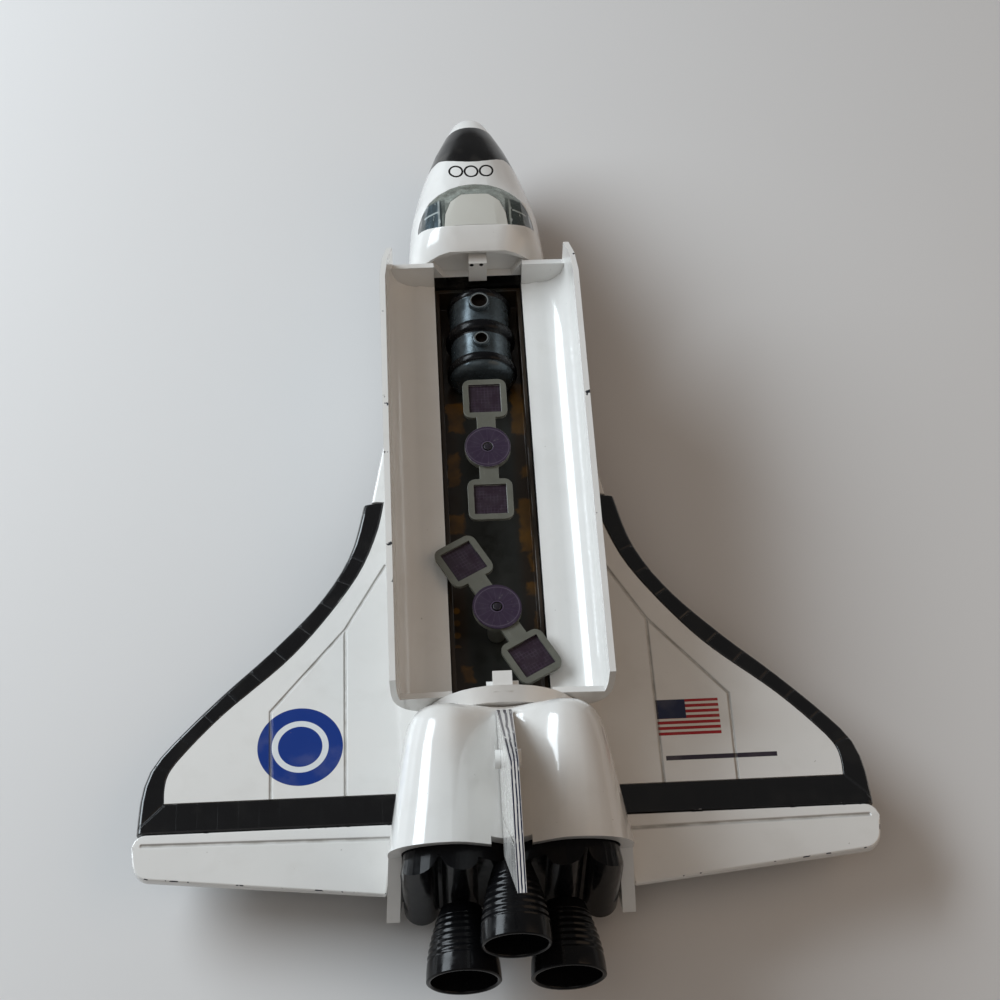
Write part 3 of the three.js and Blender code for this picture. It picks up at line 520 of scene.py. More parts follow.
def squared_corner(lowest=0.0, highest=2.0):
    def shape(bm):
        for vert in bm.verts:
            x, y, z = vert.co / MM
            out = (abs(x) - DOOR_CENTRE[0]) / DOOR_REACH[0]
            down = (DOOR_CENTRE[1] - z) / DOOR_REACH[1]
            from_pin = math.hypot(abs(x) - DOOR_PIVOT[0], z - DOOR_PIVOT[1])
            if out <= 0 or down <= 0 or from_pin < DOOR_PIN_CLEAR:
                continue
            level = (out ** DOOR_POWER + down ** DOOR_POWER) ** (1 / DOOR_POWER)
            if lowest < level < highest:
                grow = level / (out ** DOOR_CORNER + down ** DOOR_CORNER) ** (1 / DOOR_CORNER)
                vert.co.x = math.copysign(DOOR_CENTRE[0] + out * grow * DOOR_REACH[0], x) * MM
                vert.co.z = (DOOR_CENTRE[1] - down * grow * DOOR_REACH[1]) * MM

    return shape


def floor_print(name):
    material, tree, shader = finish_of(name, Coat_Weight=0.25, Coat_Roughness=0.15)
    place, x, y, z = in_mm(tree)
    middle = painted(tree, noise(tree, place, 0.12, 3), FLOOR_GREEN, FLOOR_GREEN_SHADE)
    # The floor is made browner and darker towards both walls.
    sides = ranged(tree, maths(tree, "ABSOLUTE", x), 4.2, 6.6, 0.0, 0.85)
    colour = painted(tree, sides, FLOOR_BROWN, middle)
    wobble = maths(tree, "MULTIPLY", maths(tree, "SUBTRACT", noise(tree, place, 0.35, 4, 4.0), 0.5), 3.0)
    ragged_x = maths(tree, "ADD", x, wobble)
    ragged_y = maths(tree, "SUBTRACT", y, wobble)
    shapes = []
    for x0, x1, y0, y1 in FLOOR_PATCHES:
        edge_x = maths(tree, "ABSOLUTE", maths(tree, "SUBTRACT", ragged_x, (x0 + x1) / 2))
        edge_y = maths(tree, "ABSOLUTE", maths(tree, "SUBTRACT", ragged_y, (y0 + y1) / 2))
        over_x = maths(tree, "SUBTRACT", edge_x, (x1 - x0) / 2)
        over_y = maths(tree, "SUBTRACT", edge_y, (y1 - y0) / 2)
        shapes.append(ranged(tree, maths(tree, "MAXIMUM", over_x, over_y), -0.5, 0.25, 1.0, 0.0))
    step = maths(tree, "PINGPONG", maths(tree, "SUBTRACT", y, FLOOR_DOTS["first"]), FLOOR_DOTS["pitch"] / 2)
    dot = distance(tree, maths(tree, "SUBTRACT", x, FLOOR_DOTS["x"]), step)
    shapes.append(all_of(
        tree,
        ranged(tree, dot, FLOOR_DOTS["radius"] - 0.4, FLOOR_DOTS["radius"], 1.0, 0.0),
        within(tree, y, FLOOR_DOTS["first"], FLOOR_DOTS["last"]),
    ))
    strength = ranged(tree, noise(tree, place, 0.3, 3, 14.0), 0.3, 0.7, 0.45, 0.95)
    ochre = maths(tree, "MULTIPLY", any_of(tree, *shapes), strength)
    on_floor = maths(tree, "LESS_THAN", z, FLOOR_TOP_Z)
    colour = painted(tree, maths(tree, "MULTIPLY", ochre, on_floor), FLOOR_OCHRE, colour)
    tree.links.new(colour, shader.inputs["Base Color"])
    worn = ranged(tree, noise(tree, place, 0.5, 3, 9.0), 0.3, 0.7, 0.3, 0.5)
    tree.links.new(worn, shader.inputs["Roughness"])
    grain = {"Height": noise(tree, place, 2.2, 3, 6.0), "Strength": 0.3, "Distance": 0.04 * MM}
    tree.links.new(put(tree, "ShaderNodeBump", grain).outputs[0], shader.inputs["Normal"])
    return material


for side in ("left", "right"):
    casting("bay_side_" + side, "airframe", "white_paint", enamel("side_enamel_" + side, wear=0.45), 0.3, 3,
            shape=squared_corner(*LEDGE_SPAN))
casting("bay_tub", "airframe", "bay_print", floor_print("printed_floor"), 0.15)

# Lab module. A turned-looking grey plastic moulding with raised black rings, a domed rear end and
# two ports with bright rings round holes painted near black as shade, half sunk in the tub.
DUST = (0.34, 0.32, 0.29, 1)
LAB_GREY = (0.085, 0.105, 0.115, 1)
LAB_GREY_SHADE = (0.065, 0.08, 0.09, 1)
LAB_RING_BLACK = (0.004, 0.004, 0.005, 1)
PORT_HOLE_SHADE = (0.012, 0.008, 0.006, 1)
PORT_BRIGHT = (0.30, 0.32, 0.32, 1)
LAB_AXIS_Z = 17.0
LAB_FLAT_Z = 13.6
LAB_WIDEST = 7.0
LAB_PROFILE = [
    (47.4, 0.0), (47.35, 3.9), (47.1, 4.5), (46.6, 4.75), (46.2, 5.2), (46.0, 6.1), (45.6, 6.35),
    (44.9, 6.35), (44.5, 6.1), (44.3, 5.95), (38.6, 5.95), (38.2, 6.05), (37.9, 6.6), (37.4, 6.88),
    (36.4, 6.88), (35.9, 6.6), (35.6, 6.1), (35.2, 5.98), (30.5, 5.98), (30.1, 6.1), (29.9, 6.6),
    (29.5, 6.88), (28.6, 6.88), (28.2, 6.6), (28.0, 6.25), (27.5, 6.1), (27.0, 5.6), (26.6, 4.7),
    (26.45, 3.5), (26.4, 0.0),
]
LAB_RINGS = [(44.4, 47.5), (35.3, 38.3), (28.1, 30.2)]
LAB_PORTS = [(42.3, 2.1), (33.0, 1.7)]
PORT_TOP = 24.05
PORT_FOOT = 22.0
PORT_FLOOR = -1.15
PORT_WALL = [(0.0, -0.2), (-0.1, -0.05), (-0.25, 0.0), (-0.45, -0.02), (-0.55, -0.15), (-0.6, -1.1)]
PORT_RING = (0.52, 0.32)
PORT_MARKS_FROM = 21.0
PORT_STEPS = 40


def satin(name, base, shade, roughness, metallic=0.0, grain=0.35, marks=None, turn=0.0, centre=(0, 0, 0),
          specular=0.5, rubbed=None, dust=0.12, relief=None):
    material, tree, shader = finish_of(name, Metallic=metallic, Specular_IOR_Level=specular)
    place, x, y, z = in_mm(tree, turn, centre)
    colour = painted(tree, noise(tree, place, 0.25, 4), shade, base)
    if marks:
        for mask, ink, *plain in marks(tree, x, y, z):
            colour = painted(tree, mask, ink, colour)
            if plain:
                metal = maths(tree, "MULTIPLY_ADD", mask, -metallic, metallic)
                tree.links.new(metal, shader.inputs["Metallic"])
    if rubbed:
        edge = put(tree, "ShaderNodeAttribute", attribute_name="edge").outputs["Fac"]
        touched = maths(tree, "MULTIPLY", edge, noise(tree, place, 0.9, 3, 13.0))
        colour = painted(tree, ranged(tree, touched, 0.25, 0.6, 0.0, 0.8), rubbed, colour)
    lying = ranged(tree, noise(tree, place, 1.4, 5, 19.0), 0.62, 0.75, 0.0, dust)
    colour = painted(tree, lying, DUST, colour)
    tree.links.new(colour, shader.inputs["Base Color"])
    handled = ranged(tree, noise(tree, place, 0.6, 4, 2.0), 0.3, 0.7, roughness - 0.06, roughness + 0.1)
    tree.links.new(handled, shader.inputs["Roughness"])
    pits = noise(tree, place, 3.0, 3, 1.0)
    bump = put(tree, "ShaderNodeBump", {"Height": pits, "Strength": grain, "Distance": 0.03 * MM})
    if relief:
        uncut = maths(tree, "SUBTRACT", 1.0, relief(tree, x, y, z))
        groove = {"Height": uncut, "Strength": 1.0, "Distance": GROOVE_DEPTH * MM}
        tree.links.new(put(tree, "ShaderNodeBump", groove).outputs[0], bump.inputs["Normal"])
    tree.links.new(bump.outputs[0], shader.inputs["Normal"])
    return material


def spun(profile, axis_place, axis, steps=72):
    bm = bmesh.new()
    loop = [bm.verts.new(point) for point in profile]
    for first, second in zip(loop, loop[1:]):
        bm.edges.new((first, second))
    bmesh.ops.spin(
        bm, geom=bm.verts[:] + bm.edges[:], cent=axis_place, axis=axis, angle=2 * math.pi, steps=steps,
        use_merge=True, use_duplicate=False,
    )
    bmesh.ops.remove_doubles(bm, verts=bm.verts, dist=WELD / 2 * MM)
    bmesh.ops.recalc_face_normals(bm, faces=bm.faces)
    return bm


def joined(bm, other):
    spare = bpy.data.meshes.new("spare")
    other.to_mesh(spare)
    other.free()
    bm.from_mesh(spare)
    bpy.data.meshes.remove(spare)


def lab_marks(tree, x, y, z):
    out = distance(tree, x, maths(tree, "SUBTRACT", z, LAB_AXIS_Z))
    along = any_of(tree, *[within(tree, y, low, high) for low, high in LAB_RINGS])
    rings = all_of(tree, along, maths(tree, "LESS_THAN", out, LAB_WIDEST))
    marks = [(rings, LAB_RING_BLACK, "plain")]
    for port_y, radius in LAB_PORTS:
        inner, outer = (radius - width for width in PORT_RING)
        off = distance(tree, x, maths(tree, "SUBTRACT", y, port_y))
        above = maths(tree, "GREATER_THAN", z, PORT_MARKS_FROM)
        # Painted shade: the inside of each port is painted near black.
        hole = all_of(tree, above, maths(tree, "LESS_THAN", off, inner))
        rim_height = maths(tree, "GREATER_THAN", z, PORT_TOP - 0.25)
        bright = all_of(tree, above, rim_height, within(tree, off, inner, outer))
        marks += [(hole, PORT_HOLE_SHADE), (bright, PORT_BRIGHT)]
    return marks


turned = [(0, y * MM, (LAB_AXIS_Z + out) * MM) for y, out in LAB_PROFILE]
lab = spun(turned, (0, 0, LAB_AXIS_Z * MM), (0, 1, 0))
bmesh.ops.bisect_plane(
    lab, geom=lab.verts[:] + lab.edges[:] + lab.faces[:], plane_co=(0, 0, LAB_FLAT_Z * MM),
    plane_no=(0, 0, -1), clear_outer=True,
)
bmesh.ops.holes_fill(lab, edges=[edge for edge in lab.edges if edge.is_boundary], sides=0)
for port_y, radius in LAB_PORTS:
    wall = [(radius, PORT_FOOT)] + [(radius + out, PORT_TOP + up) for out, up in PORT_WALL]
    wall.append((0.0, PORT_TOP + PORT_FLOOR))
    port = [(out * MM, port_y * MM, z * MM) for out, z in wall]
    joined(lab, spun(port, (0, port_y * MM, 0), (0, 0, 1), PORT_STEPS))
fitted(lab, "lab_module_turned", "lab_module", "airframe",
       satin("lab_satin", LAB_GREY, LAB_GREY_SHADE, 0.24, 0.55, marks=lab_marks, specular=0.2, dust=0.02))

# Satellites. Each is one thin olive-grey plastic moulding, a disc and two framed panels on a bar,
# with purple foil cells under the frames' lips and on the disc, turning on a peg. The disc's middle
# and the peg's top are painted dark as the shade of the hole.
SATELLITE_TURNS = {"front": (7.0, 0.0), "rear": (-27.8, 29.0)}
CELL_HALF = 3.25
CELL_PITCH = 0.65
SPOKES = 16
SATELLITE_SLIM = 0.945
SATELLITE_MIDDLE_Z = 23.8
SATELLITE_BOTTOM_Z = 23.0
PEG_TOP_Z = 24.32
PANEL_OUT = 11.5
CELL_TOP = -0.1
DISC_FROM = 0.2
# Height above the peg's middle from which its top is painted dark as the hole's shade.
PEG_SHADE_FROM = 0.05
DISC_RADIUS = 4.7
DISC_RIM = (3.95, 4.1)
SPOKE_SPAN = (1.3, 4.1)
HUB_RADIUS = 1.35
HUB_RING = (1.0, 1.25)
OLIVE_GREY = (0.140, 0.140, 0.115, 1)
OLIVE_GREY_SHADE = (0.10, 0.10, 0.082, 1)
OLIVE_GREY_RUBBED = (0.26, 0.27, 0.24, 1)
PEG_GREY = (0.15, 0.15, 0.125, 1)
PEG_GREY_SHADE = (0.11, 0.11, 0.09, 1)
# Foil colours, and under hub and peg the painted shade of the hole at the disc's middle.
FOIL_AND_HOLE_SHADE = {
    "cell": (0.020, 0.009, 0.018, 1), "lines": (0.06, 0.04, 0.065, 1), "disc": (0.030, 0.017, 0.038, 1),
    "spokes": (0.06, 0.042, 0.072, 1), "rim": (0.08, 0.06, 0.09, 1), "hub": (0.008, 0.004, 0.010, 1),
    "hub_ring": (0.06, 0.04, 0.075, 1), "peg": (0.010, 0.006, 0.012, 1),
}


def slim(place_y, turn):
    to_bar = Matrix.Rotation(-turn, 4, "Z") @ Matrix.Translation((0, -place_y * MM, 0))
    narrow = to_bar.inverted() @ Matrix.Diagonal((SATELLITE_SLIM, 1, 1, 1)) @ to_bar

    def shape(bm):
        bmesh.ops.transform(bm, matrix=narrow, verts=bm.verts)
        for vert in bm.verts:
            vert.co.z = max(vert.co.z, SATELLITE_BOTTOM_Z * MM)

    return shape


def lowered_peg(bm):
    for vert in bm.verts:
        vert.co.z = min(vert.co.z, PEG_TOP_Z * MM)


def cell_marks(tree, x, y, z):
    off_y = maths(tree, "SUBTRACT", maths(tree, "ABSOLUTE", y), PANEL_OUT)
    half = CELL_HALF * SATELLITE_SLIM
    cell = all_of(
        tree,
        within(tree, x, -half, half),
        within(tree, off_y, -CELL_HALF, CELL_HALF),
        maths(tree, "LESS_THAN", z, CELL_TOP),
    )
    line_x = ranged(tree, maths(tree, "PINGPONG", x, CELL_PITCH / 2), 0.02, 0.09, 0.55, 0.0)
    line_y = ranged(tree, maths(tree, "PINGPONG", off_y, CELL_PITCH / 2), 0.02, 0.09, 0.55, 0.0)
    place = put(tree, "ShaderNodeCombineXYZ", (x, y, z)).outputs[0]
    fade = ranged(tree, noise(tree, place, 0.5, 2, 3.0), 0.35, 0.6)
    lines = all_of(tree, cell, any_of(tree, line_x, line_y), fade)
    off = distance(tree, x, y)
    on_disc = maths(tree, "GREATER_THAN", z, DISC_FROM)
    disc = all_of(tree, maths(tree, "LESS_THAN", off, DISC_RADIUS), on_disc)
    turn = maths(tree, "ARCTAN2", y, x)
    spoke = maths(tree, "MULTIPLY", maths(tree, "PINGPONG", turn, math.pi / SPOKES), off)
    spoke_ink = ranged(tree, spoke, 0.02, 0.10, 0.5, 0.0)
    spokes = all_of(tree, disc, spoke_ink, within(tree, off, *SPOKE_SPAN))
    rim = all_of(tree, disc, within(tree, off, *DISC_RIM))
    # Painted shade: the disc's middle is darkened as the hole round the peg.
    hub = all_of(tree, disc, maths(tree, "LESS_THAN", off, HUB_RADIUS))
    hub_ring = all_of(tree, disc, within(tree, off, *HUB_RING))
    return [
        (cell, FOIL_AND_HOLE_SHADE["cell"]), (lines, FOIL_AND_HOLE_SHADE["lines"]), (disc, FOIL_AND_HOLE_SHADE["disc"]), (spokes, FOIL_AND_HOLE_SHADE["spokes"]),
        (rim, FOIL_AND_HOLE_SHADE["rim"]), (hub, FOIL_AND_HOLE_SHADE["hub"]), (hub_ring, FOIL_AND_HOLE_SHADE["hub_ring"]),
    ]


# The peg's top is painted dark as the hole's shade.
def peg_marks(tree, x, y, z):
    return [(maths(tree, "GREATER_THAN", z, PEG_SHADE_FROM), FOIL_AND_HOLE_SHADE["peg"])]


for place_word, (sat_y, degrees) in SATELLITE_TURNS.items():
    turn = math.radians(degrees)
    peg = (0, sat_y * MM, SATELLITE_MIDDLE_Z * MM)
    plastic = satin("satellite_" + place_word + "_plastic", OLIVE_GREY, OLIVE_GREY_SHADE, 0.38,
                    marks=cell_marks, turn=turn, centre=peg, rubbed=OLIVE_GREY_RUBBED)
    casting("satellite_" + place_word, "satellite_" + place_word, "satellite_plastic", plastic, 0.22, 3,
            shape=slim(sat_y, turn))
    casting("satellite_peg_" + place_word, "airframe", "satellite_plastic",
            satin("peg_plastic_" + place_word, PEG_GREY, PEG_GREY_SHADE, 0.42, marks=peg_marks, centre=peg),
            0.2, 3, shape=lowered_peg)

# Payload doors. Thin curved castings in white enamel with a web at each end, hung on pins, their
# rims chipped to dark metal.
RIM_WIDTH = 0.6


def rim_chips(node):
    low, high = (Vector(corner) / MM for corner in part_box(node))

    def marks(tree, x, y, z):
        place = put(tree, "ShaderNodeCombineXYZ", (x, y, z)).outputs[0]
        rims = any_of(
            tree,
            maths(tree, "GREATER_THAN", z, high.z - RIM_WIDTH),
            maths(tree, "LESS_THAN", y, low.y + RIM_WIDTH),
            maths(tree, "GREATER_THAN", y, high.y - RIM_WIDTH),
        )
        flakes = ranged(tree, noise(tree, place, 0.45, 5, 51.0), 0.66, 0.68)
        return [(all_of(tree, rims, flakes), BARE_EDGE)]

    return marks


for side in ("left", "right"):
    door = "door_" + side
    casting(door, door, "white_paint", enamel("door_enamel_" + side, rim_chips(door), wear=0.58), 0.3, 3,
            shape=squared_corner())

# Rear bulkhead, aft cowl and fin. White castings, the fin standing in the valley between the pods
# with the enamel rubbed off along its edges.
COWL_LIP_Y = -72.5
FIN = {"root_z": 28.9, "root_half": 1.4, "taper": -0.0233}
FIN_EDGE = (0.55, 0.88)
FIN_MIDDLE = (-0.2, 0.15)
FIN_DARK = (0.008, 0.012, 0.045, 1)
FIN_BARE = (0.010, 0.014, 0.04, 1)
FLANK_OUT = 0.4
RUDDER_LINES = [
    ((-71.5, 30.5), (-87.8, 57.6)), ((-79.7, 44.1), (-88.0, 44.1)), ((-87.8, 57.6), (-95.4, 57.6)),
]


def at_lip(edge):
    return all(vert.co.y < COWL_LIP_Y * MM for vert in edge.verts)


def fin_marks(tree, x, y, z):
    above_root = maths(tree, "SUBTRACT", z, FIN["root_z"])
    half = maths(tree, "MULTIPLY_ADD", above_root, FIN["taper"], FIN["root_half"])
    across = maths(tree, "DIVIDE", x, half)
    side = maths(tree, "ABSOLUTE", across)
    place = put(tree, "ShaderNodeCombineXYZ", (0.0, y, z)).outputs[0]
    wander = maths(tree, "MULTIPLY_ADD", noise(tree, place, 0.12, 3, 31.0), 0.9, -0.45)
    shifted = maths(tree, "ADD", across, wander)
    spread = put(tree, "ShaderNodeCombineXYZ", (maths(tree, "MULTIPLY", x, 6.0), y, z)).outputs[0]
    breaks = ranged(tree, noise(tree, spread, 0.5, 4, 37.0), 0.30, 0.42)
    edges = within(tree, side, *FIN_EDGE)
    middle = within(tree, shifted, *FIN_MIDDLE)
    lines = all_of(tree, any_of(tree, edges, middle), breaks, maths(tree, "LESS_THAN", side, FIN_EDGE[1]))
    return [(lines, FIN_DARK)]


def fin_relief(tree, x, y, z):
    flank = maths(tree, "GREATER_THAN", maths(tree, "ABSOLUTE", x), FLANK_OUT)
    return maths(tree, "MULTIPLY", grooved(tree, y, z, RUDDER_LINES, 0.35), flank)


casting("rear_bulkhead", "airframe", "white_paint", enamel("bulkhead_enamel", wear=0.4), 0.35, 3)
casting("aft_cowl", "airframe", "white_paint", enamel("cowl_enamel", wear=0.4), 0.4, 3, wide=at_lip,
        wide_rounding=0.7)
casting("fin", "airframe", "white_paint",
        enamel("fin_enamel", fin_marks, wear=0.66, bare=FIN_BARE, relief=fin_relief), 0.3, 3)

# Wings. White panels with moulded panel lines, black edge bands with cross grooves, and the
# elevons, all one casting with the paint fields masked.
WING_TOP_Z = 12.5
ROUNDEL = {"x": -36.0, "y": -48.4, "radius": 7.6, "ring": 4.5, "line": 0.55}
ROUNDEL_BLUE = (0.006, 0.034, 0.21, 1)
ROUNDEL_WHITE = (0.72, 0.74, 0.75, 1)
INK_FADE = 0.04
PANEL_LINES = [
    ((20.2, -11.7), (27.8, -25.1)), ((27.8, -25.1), (41.3, -41.3)), ((41.3, -41.3), (41.1, -58.4)),
    ((27.8, -25.1), (28.0, -58.4)),
]
FLAG = {"x0": 27.9, "x1": 39.2, "y0": -49.3, "y1": -42.2, "bars": 13, "red_share": 1.12}
FLAG_CANTON = {"x": 33.2, "y": -46.0}
FLAG_WHITE = (0.70, 0.66, 0.60, 1)
FLAG_RED = (0.36, 0.012, 0.015, 1)
FLAG_BLUE = (0.010, 0.014, 0.05, 1)
PLAIN_BAR = {"x0": 28.8, "x1": 48.6, "y0": -54.2, "y1": -53.3}
PLAIN_BAR_DARK = (0.030, 0.022, 0.035, 1)
BAND_STATIONS = [
    (24.1, -3.2), (27.2, -8.9), (29.6, -14.0), (32.3, -18.9), (36.2, -23.9), (40.7, -28.8), (44.8, -33.2),
    (49.0, -37.2), (53.2, -41.2), (57.4, -45.6), (61.4, -51.2), (62.6, -56.5),
]
BAND_MITRE = ((59.9, -58.6), (64.4, -63.1))
BAND_CUT_HALF = 3.4
BAND_SHADE = (0.006, 0.006, 0.007, 1)
BAND_BARE = (0.26, 0.26, 0.26, 1)
BAND_GRIME = (0.008, 0.01, 0.014, 1)
CROSS_STRIPE = {"y": (-63.7, -58.5), "end": 59.0, "pitch": 3.6}
ELEVON_TOP_Z = 11.8
ELEVON_CREASE = ((20.0, -66.7), (63.2, -66.1))
INNER_CORNER = {"x": (56.5, 60.5), "y": (-56.5, -48.5)}
TIP = {"x": (62.0, 63.6), "rear": -71.0, "out": 64.5, "shift": 0.25}
UPRIGHT_SHARE = 0.6


def panel_relief(tree, x, y, z):
    cut = grooved(tree, maths(tree, "ABSOLUTE", x), y, PANEL_LINES, 0.42)
    return maths(tree, "MULTIPLY", cut, maths(tree, "GREATER_THAN", z, WING_TOP_Z))


def left_wing_marks(tree, x, y, z):
    def inked(value, size):
        return all_of(tree, top, ranged(tree, value, size - INK_FADE, size + INK_FADE, 1.0, 0.0))

    off = distance(tree, maths(tree, "SUBTRACT", x, ROUNDEL["x"]), maths(tree, "SUBTRACT", y, ROUNDEL["y"]))
    top = maths(tree, "GREATER_THAN", z, WING_TOP_Z)
    line = maths(tree, "ABSOLUTE", maths(tree, "SUBTRACT", off, ROUNDEL["ring"]))
    return [(inked(off, ROUNDEL["radius"]), ROUNDEL_BLUE), (inked(line, ROUNDEL["line"]), ROUNDEL_WHITE)]


def right_wing_marks(tree, x, y, z):
    def field(area):
        return all_of(
            tree,
            within(tree, x, area["x0"], area["x1"]),
            within(tree, y, area["y0"], area["y1"]),
            maths(tree, "GREATER_THAN", z, WING_TOP_Z),
        )

    flag = field(FLAG)
    step = (FLAG["y1"] - FLAG["y0"]) / FLAG["bars"]
    bars = maths(tree, "FLOORED_MODULO", maths(tree, "SUBTRACT", y, FLAG["y0"]), 2 * step)
    red = all_of(tree, flag, maths(tree, "LESS_THAN", bars, FLAG["red_share"] * step))
    canton = all_of(
        tree,
        flag,
        maths(tree, "LESS_THAN", x, FLAG_CANTON["x"]),
        maths(tree, "GREATER_THAN", y, FLAG_CANTON["y"]),
    )
    return [(field(PLAIN_BAR), PLAIN_BAR_DARK), (flag, FLAG_WHITE), (red, FLAG_RED), (canton, FLAG_BLUE)]


band_cuts = []
for before, here, after in zip(BAND_STATIONS, BAND_STATIONS[1:], BAND_STATIONS[2:]):
    run = Vector(after) - Vector(before)
    side_step = Vector((run.y, -run.x)).normalized() * BAND_CUT_HALF
    band_cuts.append((tuple(Vector(here) - side_step), tuple(Vector(here) + side_step)))
band_cuts.append(BAND_MITRE)


def band_relief(tree, x, y, z):
    across = maths(tree, "ABSOLUTE", x)
    cuts = maths(tree, "MULTIPLY", grooved(tree, across, y, band_cuts, 0.34), 0.7)
    tick = ranged(tree, maths(tree, "PINGPONG", across, CROSS_STRIPE["pitch"] / 2), 0.03, 0.16, 0.06, 0.0)
    before_end = maths(tree, "LESS_THAN", across, CROSS_STRIPE["end"])
    ticks = all_of(tree, tick, within(tree, y, *CROSS_STRIPE["y"]), before_end)
    return any_of(tree, cuts, ticks)


def elevon_relief(tree, x, y, z):
    cut = grooved(tree, maths(tree, "ABSOLUTE", x), y, [ELEVON_CREASE], 0.5)
    return maths(tree, "MULTIPLY", cut, maths(tree, "GREATER_THAN", z, ELEVON_TOP_Z))


def upright(first, second):
    return abs(first.z - second.z) > UPRIGHT_SHARE * (first - second).length


def inner_corner(edge):
    first, second = (vert.co / MM for vert in edge.verts)
    near_x, far_x = INNER_CORNER["x"]
    rear_y, front_y = INNER_CORNER["y"]
    return upright(first, second) and near_x < abs(first.x) < far_x and rear_y < first.y < front_y


def squared_tip(bm):
    for vert in bm.verts:
        x, y, z = vert.co / MM
        if TIP["x"][0] < abs(x) < TIP["x"][1] and y < TIP["rear"]:
            vert.co.x = math.copysign(TIP["out"], x) * MM
            vert.co.y = (y + TIP["shift"]) * MM


def tip_corner(edge):
    first, second = (vert.co / MM for vert in edge.verts)
    return upright(first, second) and abs(first.x) > TIP["x"][0]


WING_MARKS = {"left": left_wing_marks, "right": right_wing_marks}
for side in ("left", "right"):
    casting("wing_panel_" + side, "airframe", "white_paint",
            enamel("panel_enamel_" + side, WING_MARKS[side], wear=0.3, relief=panel_relief), 0.2, 3,
            wide=inner_corner, wide_rounding=1.3, wide_sharp=8)
    casting("wing_band_" + side, "airframe", "black_paint",
            enamel("band_enamel_" + side, wear=0.34, base=BLACK_ENAMEL, shade=BAND_SHADE, bare=BAND_BARE,
                   gloss=0.1, relief=band_relief, grime=BAND_GRIME, film=0.012, specular=0.35),
            0.25, 3, wide=inner_corner, wide_rounding=1.3, wide_sharp=8)
    casting("elevon_" + side, "airframe", "white_paint",
            enamel("elevon_enamel_" + side, wear=0.4, relief=elevon_relief), 0.4, 3, shape=squared_tip,
            wide=tip_corner, wide_rounding=2.3)

# Engines. One glossy black moulding with upright lobes, and three spun-looking bells with fine
# ribs round them above a smooth lip.
ENGINE_BLACK = (0.0035, 0.0035, 0.004, 1)
ENGINE_BLACK_SHADE = (0.008, 0.008, 0.009, 1)
ENGINE_RUBBED = (0.03, 0.032, 0.036, 1)
BELL_WALL = 0.8
BELL_STEPS = 120
BELL_END = 0.985
BORE_FROM = 0.2
BORE_EVERY = 6
RIBS = {"first": 0.16, "last": 0.74, "pitch": 1.2, "height": 0.14}
BELLS = {
    "nozzle_lower_left": {"x": -8.7, "z": 14.5, "base": -80.6, "exit": -93.5, "lip": 6.3, "neck": 3.4},
    "nozzle_lower_right": {"x": 8.7, "z": 14.5, "base": -80.6, "exit": -93.5, "lip": 6.3, "neck": 3.4},
    "nozzle_upper": {"x": 0.0, "z": 25.0, "base": -77.8, "exit": -91.5, "lip": 5.9, "neck": 3.2},
}


def gloss_black(name, specular=0.22):
    return satin(name, ENGINE_BLACK, ENGINE_BLACK_SHADE, 0.16, grain=0.06, specular=specular,
                 rubbed=ENGINE_RUBBED, dust=0.01)


def bell_profile(bell):
    depth = bell["base"] - bell["exit"]
    outer, bore = [], []
    for step in range(BELL_STEPS + 1):
        part = step / BELL_STEPS
        flare = bell["neck"] + (bell["lip"] - bell["neck"]) * math.sin(part * math.pi / 2) ** 0.9
        wave = 0.5 - 0.5 * math.cos(2 * math.pi * (part - RIBS["first"]) * depth / RIBS["pitch"])
        ribbed = RIBS["first"] < part < RIBS["last"]
        y = bell["base"] - part * depth
        if part < BELL_END:
            outer.append((flare + (RIBS["height"] * (wave - 0.5) if ribbed else 0), y))
            if part > BORE_FROM and step % BORE_EVERY == 0:
                bore.append((flare - BELL_WALL, y))
    curl = BELL_WALL / 2
    lip = [(bell["lip"] - curl + curl * math.cos(turn), bell["exit"] + curl - curl * math.sin(turn))
           for turn in (math.pi * part / 8 for part in range(9))]
    return [(0.0, bell["base"])] + outer + lip + bore[::-1] + [(0.0, bore[0][1])]


casting("engine_block", "airframe", "engine_plastic", gloss_black("engine_gloss", 0.1), 0.5, 4)
for node, bell in BELLS.items():
    profile = [((bell["x"] + out) * MM, y * MM, bell["z"] * MM) for out, y in bell_profile(bell)]
    turned = spun(profile, (bell["x"] * MM, 0, bell["z"] * MM), (0, 1, 0))
    fitted(turned, node + "_bell", node, "airframe", gloss_black(node + "_gloss"))

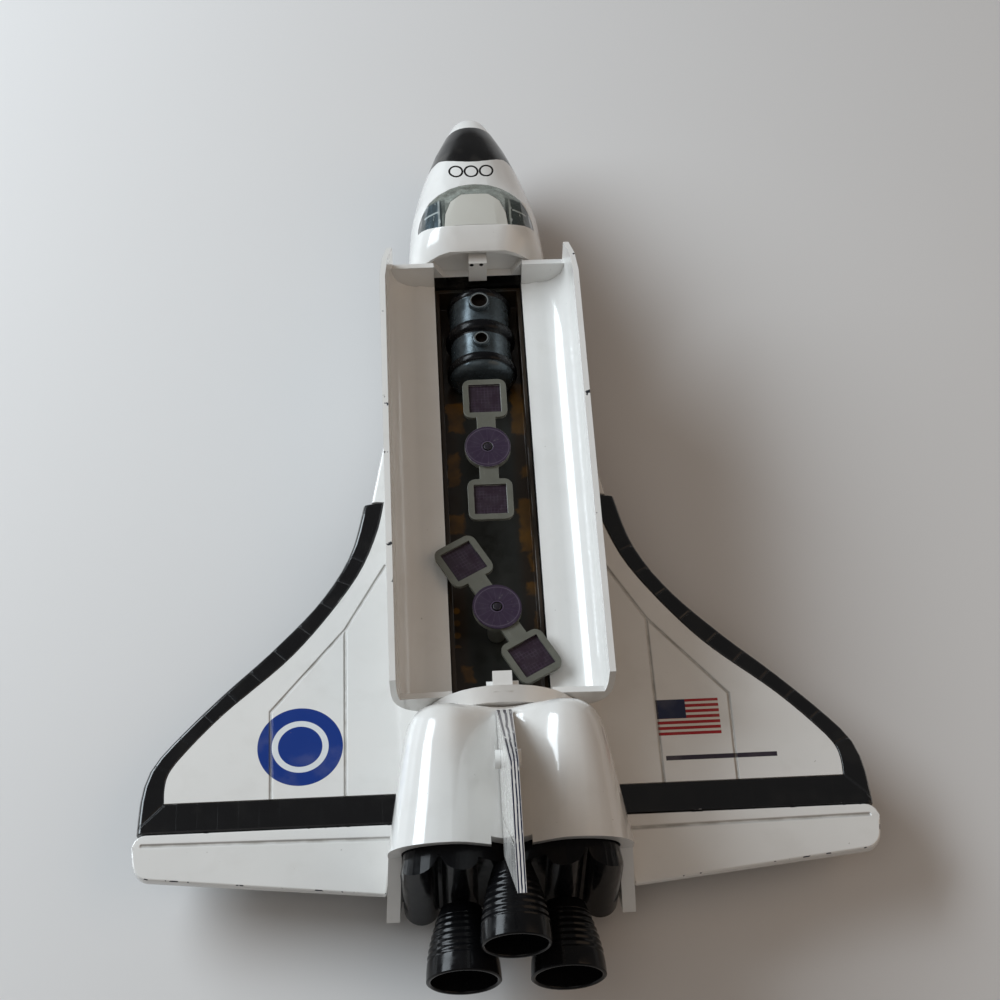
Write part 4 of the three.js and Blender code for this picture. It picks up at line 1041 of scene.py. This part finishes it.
# Belly tray, axles and wheels. A black plastic underside moulded with tile lines, steel axles
# pressed into its lugs, and black plastic wheels with a ribbed tread and a plain hub.
TILE_PITCH = 8.0
WHEELS = {
    "nose": {"y": 46.0, "z": 4.0, "tyre": 4.0},
    "main": {"y": -44.0, "z": 4.6, "tyre": 4.6},
}
TREAD_RIBS = 36
TREAD_FROM = 0.9
HUB_LINE = 0.78
BELLY_BLACK = (0.012, 0.012, 0.013, 1)
BELLY_BLACK_SHADE = (0.02, 0.02, 0.02, 1)
BELLY_RUBBED = (0.05, 0.05, 0.05, 1)
STEEL = (0.45, 0.46, 0.48, 1)
STEEL_SHADE = (0.35, 0.36, 0.38, 1)
TYRE_BLACK = (0.014, 0.014, 0.015, 1)
TYRE_BLACK_SHADE = (0.022, 0.022, 0.022, 1)


def belly_relief(tree, x, y, z):
    lines = [ranged(tree, maths(tree, "PINGPONG", along, TILE_PITCH / 2), 0.05, 0.3, 1.0, 0.0)
             for along in (maths(tree, "ADD", x, TILE_PITCH / 2), y)]
    return any_of(tree, *lines)


def wheel_relief(wheel):
    def relief(tree, x, y, z):
        behind = maths(tree, "SUBTRACT", y, wheel["y"])
        above = maths(tree, "SUBTRACT", z, wheel["z"])
        out = distance(tree, behind, above)
        turn = maths(tree, "ARCTAN2", above, behind)
        ribs = ranged(tree, maths(tree, "PINGPONG", turn, math.pi / TREAD_RIBS), 0.015, 0.05, 1.0, 0.0)
        tread = all_of(tree, ribs, maths(tree, "GREATER_THAN", out, TREAD_FROM * wheel["tyre"]))
        from_hub = maths(tree, "ABSOLUTE", maths(tree, "SUBTRACT", out, HUB_LINE * wheel["tyre"]))
        return any_of(tree, tread, ranged(tree, from_hub, 0.08, 0.22, 1.0, 0.0))

    return relief


casting("belly_tray", "airframe", "belly_plastic",
        satin("belly_plastic", BELLY_BLACK, BELLY_BLACK_SHADE, 0.45, relief=belly_relief,
              rubbed=BELLY_RUBBED), 0.2)
for axle, wheel in WHEELS.items():
    body = axle + "_wheels"
    casting(axle + "_axle", body, "axle_steel",
            satin(axle + "_steel", STEEL, STEEL_SHADE, 0.3, 1.0), 0.15)
    for side in ("left", "right"):
        casting(axle + "_wheel_" + side, body, "wheel_plastic",
                satin(axle + "_tyre_" + side, TYRE_BLACK, TYRE_BLACK_SHADE, 0.5, relief=wheel_relief(wheel)),
                0.35)
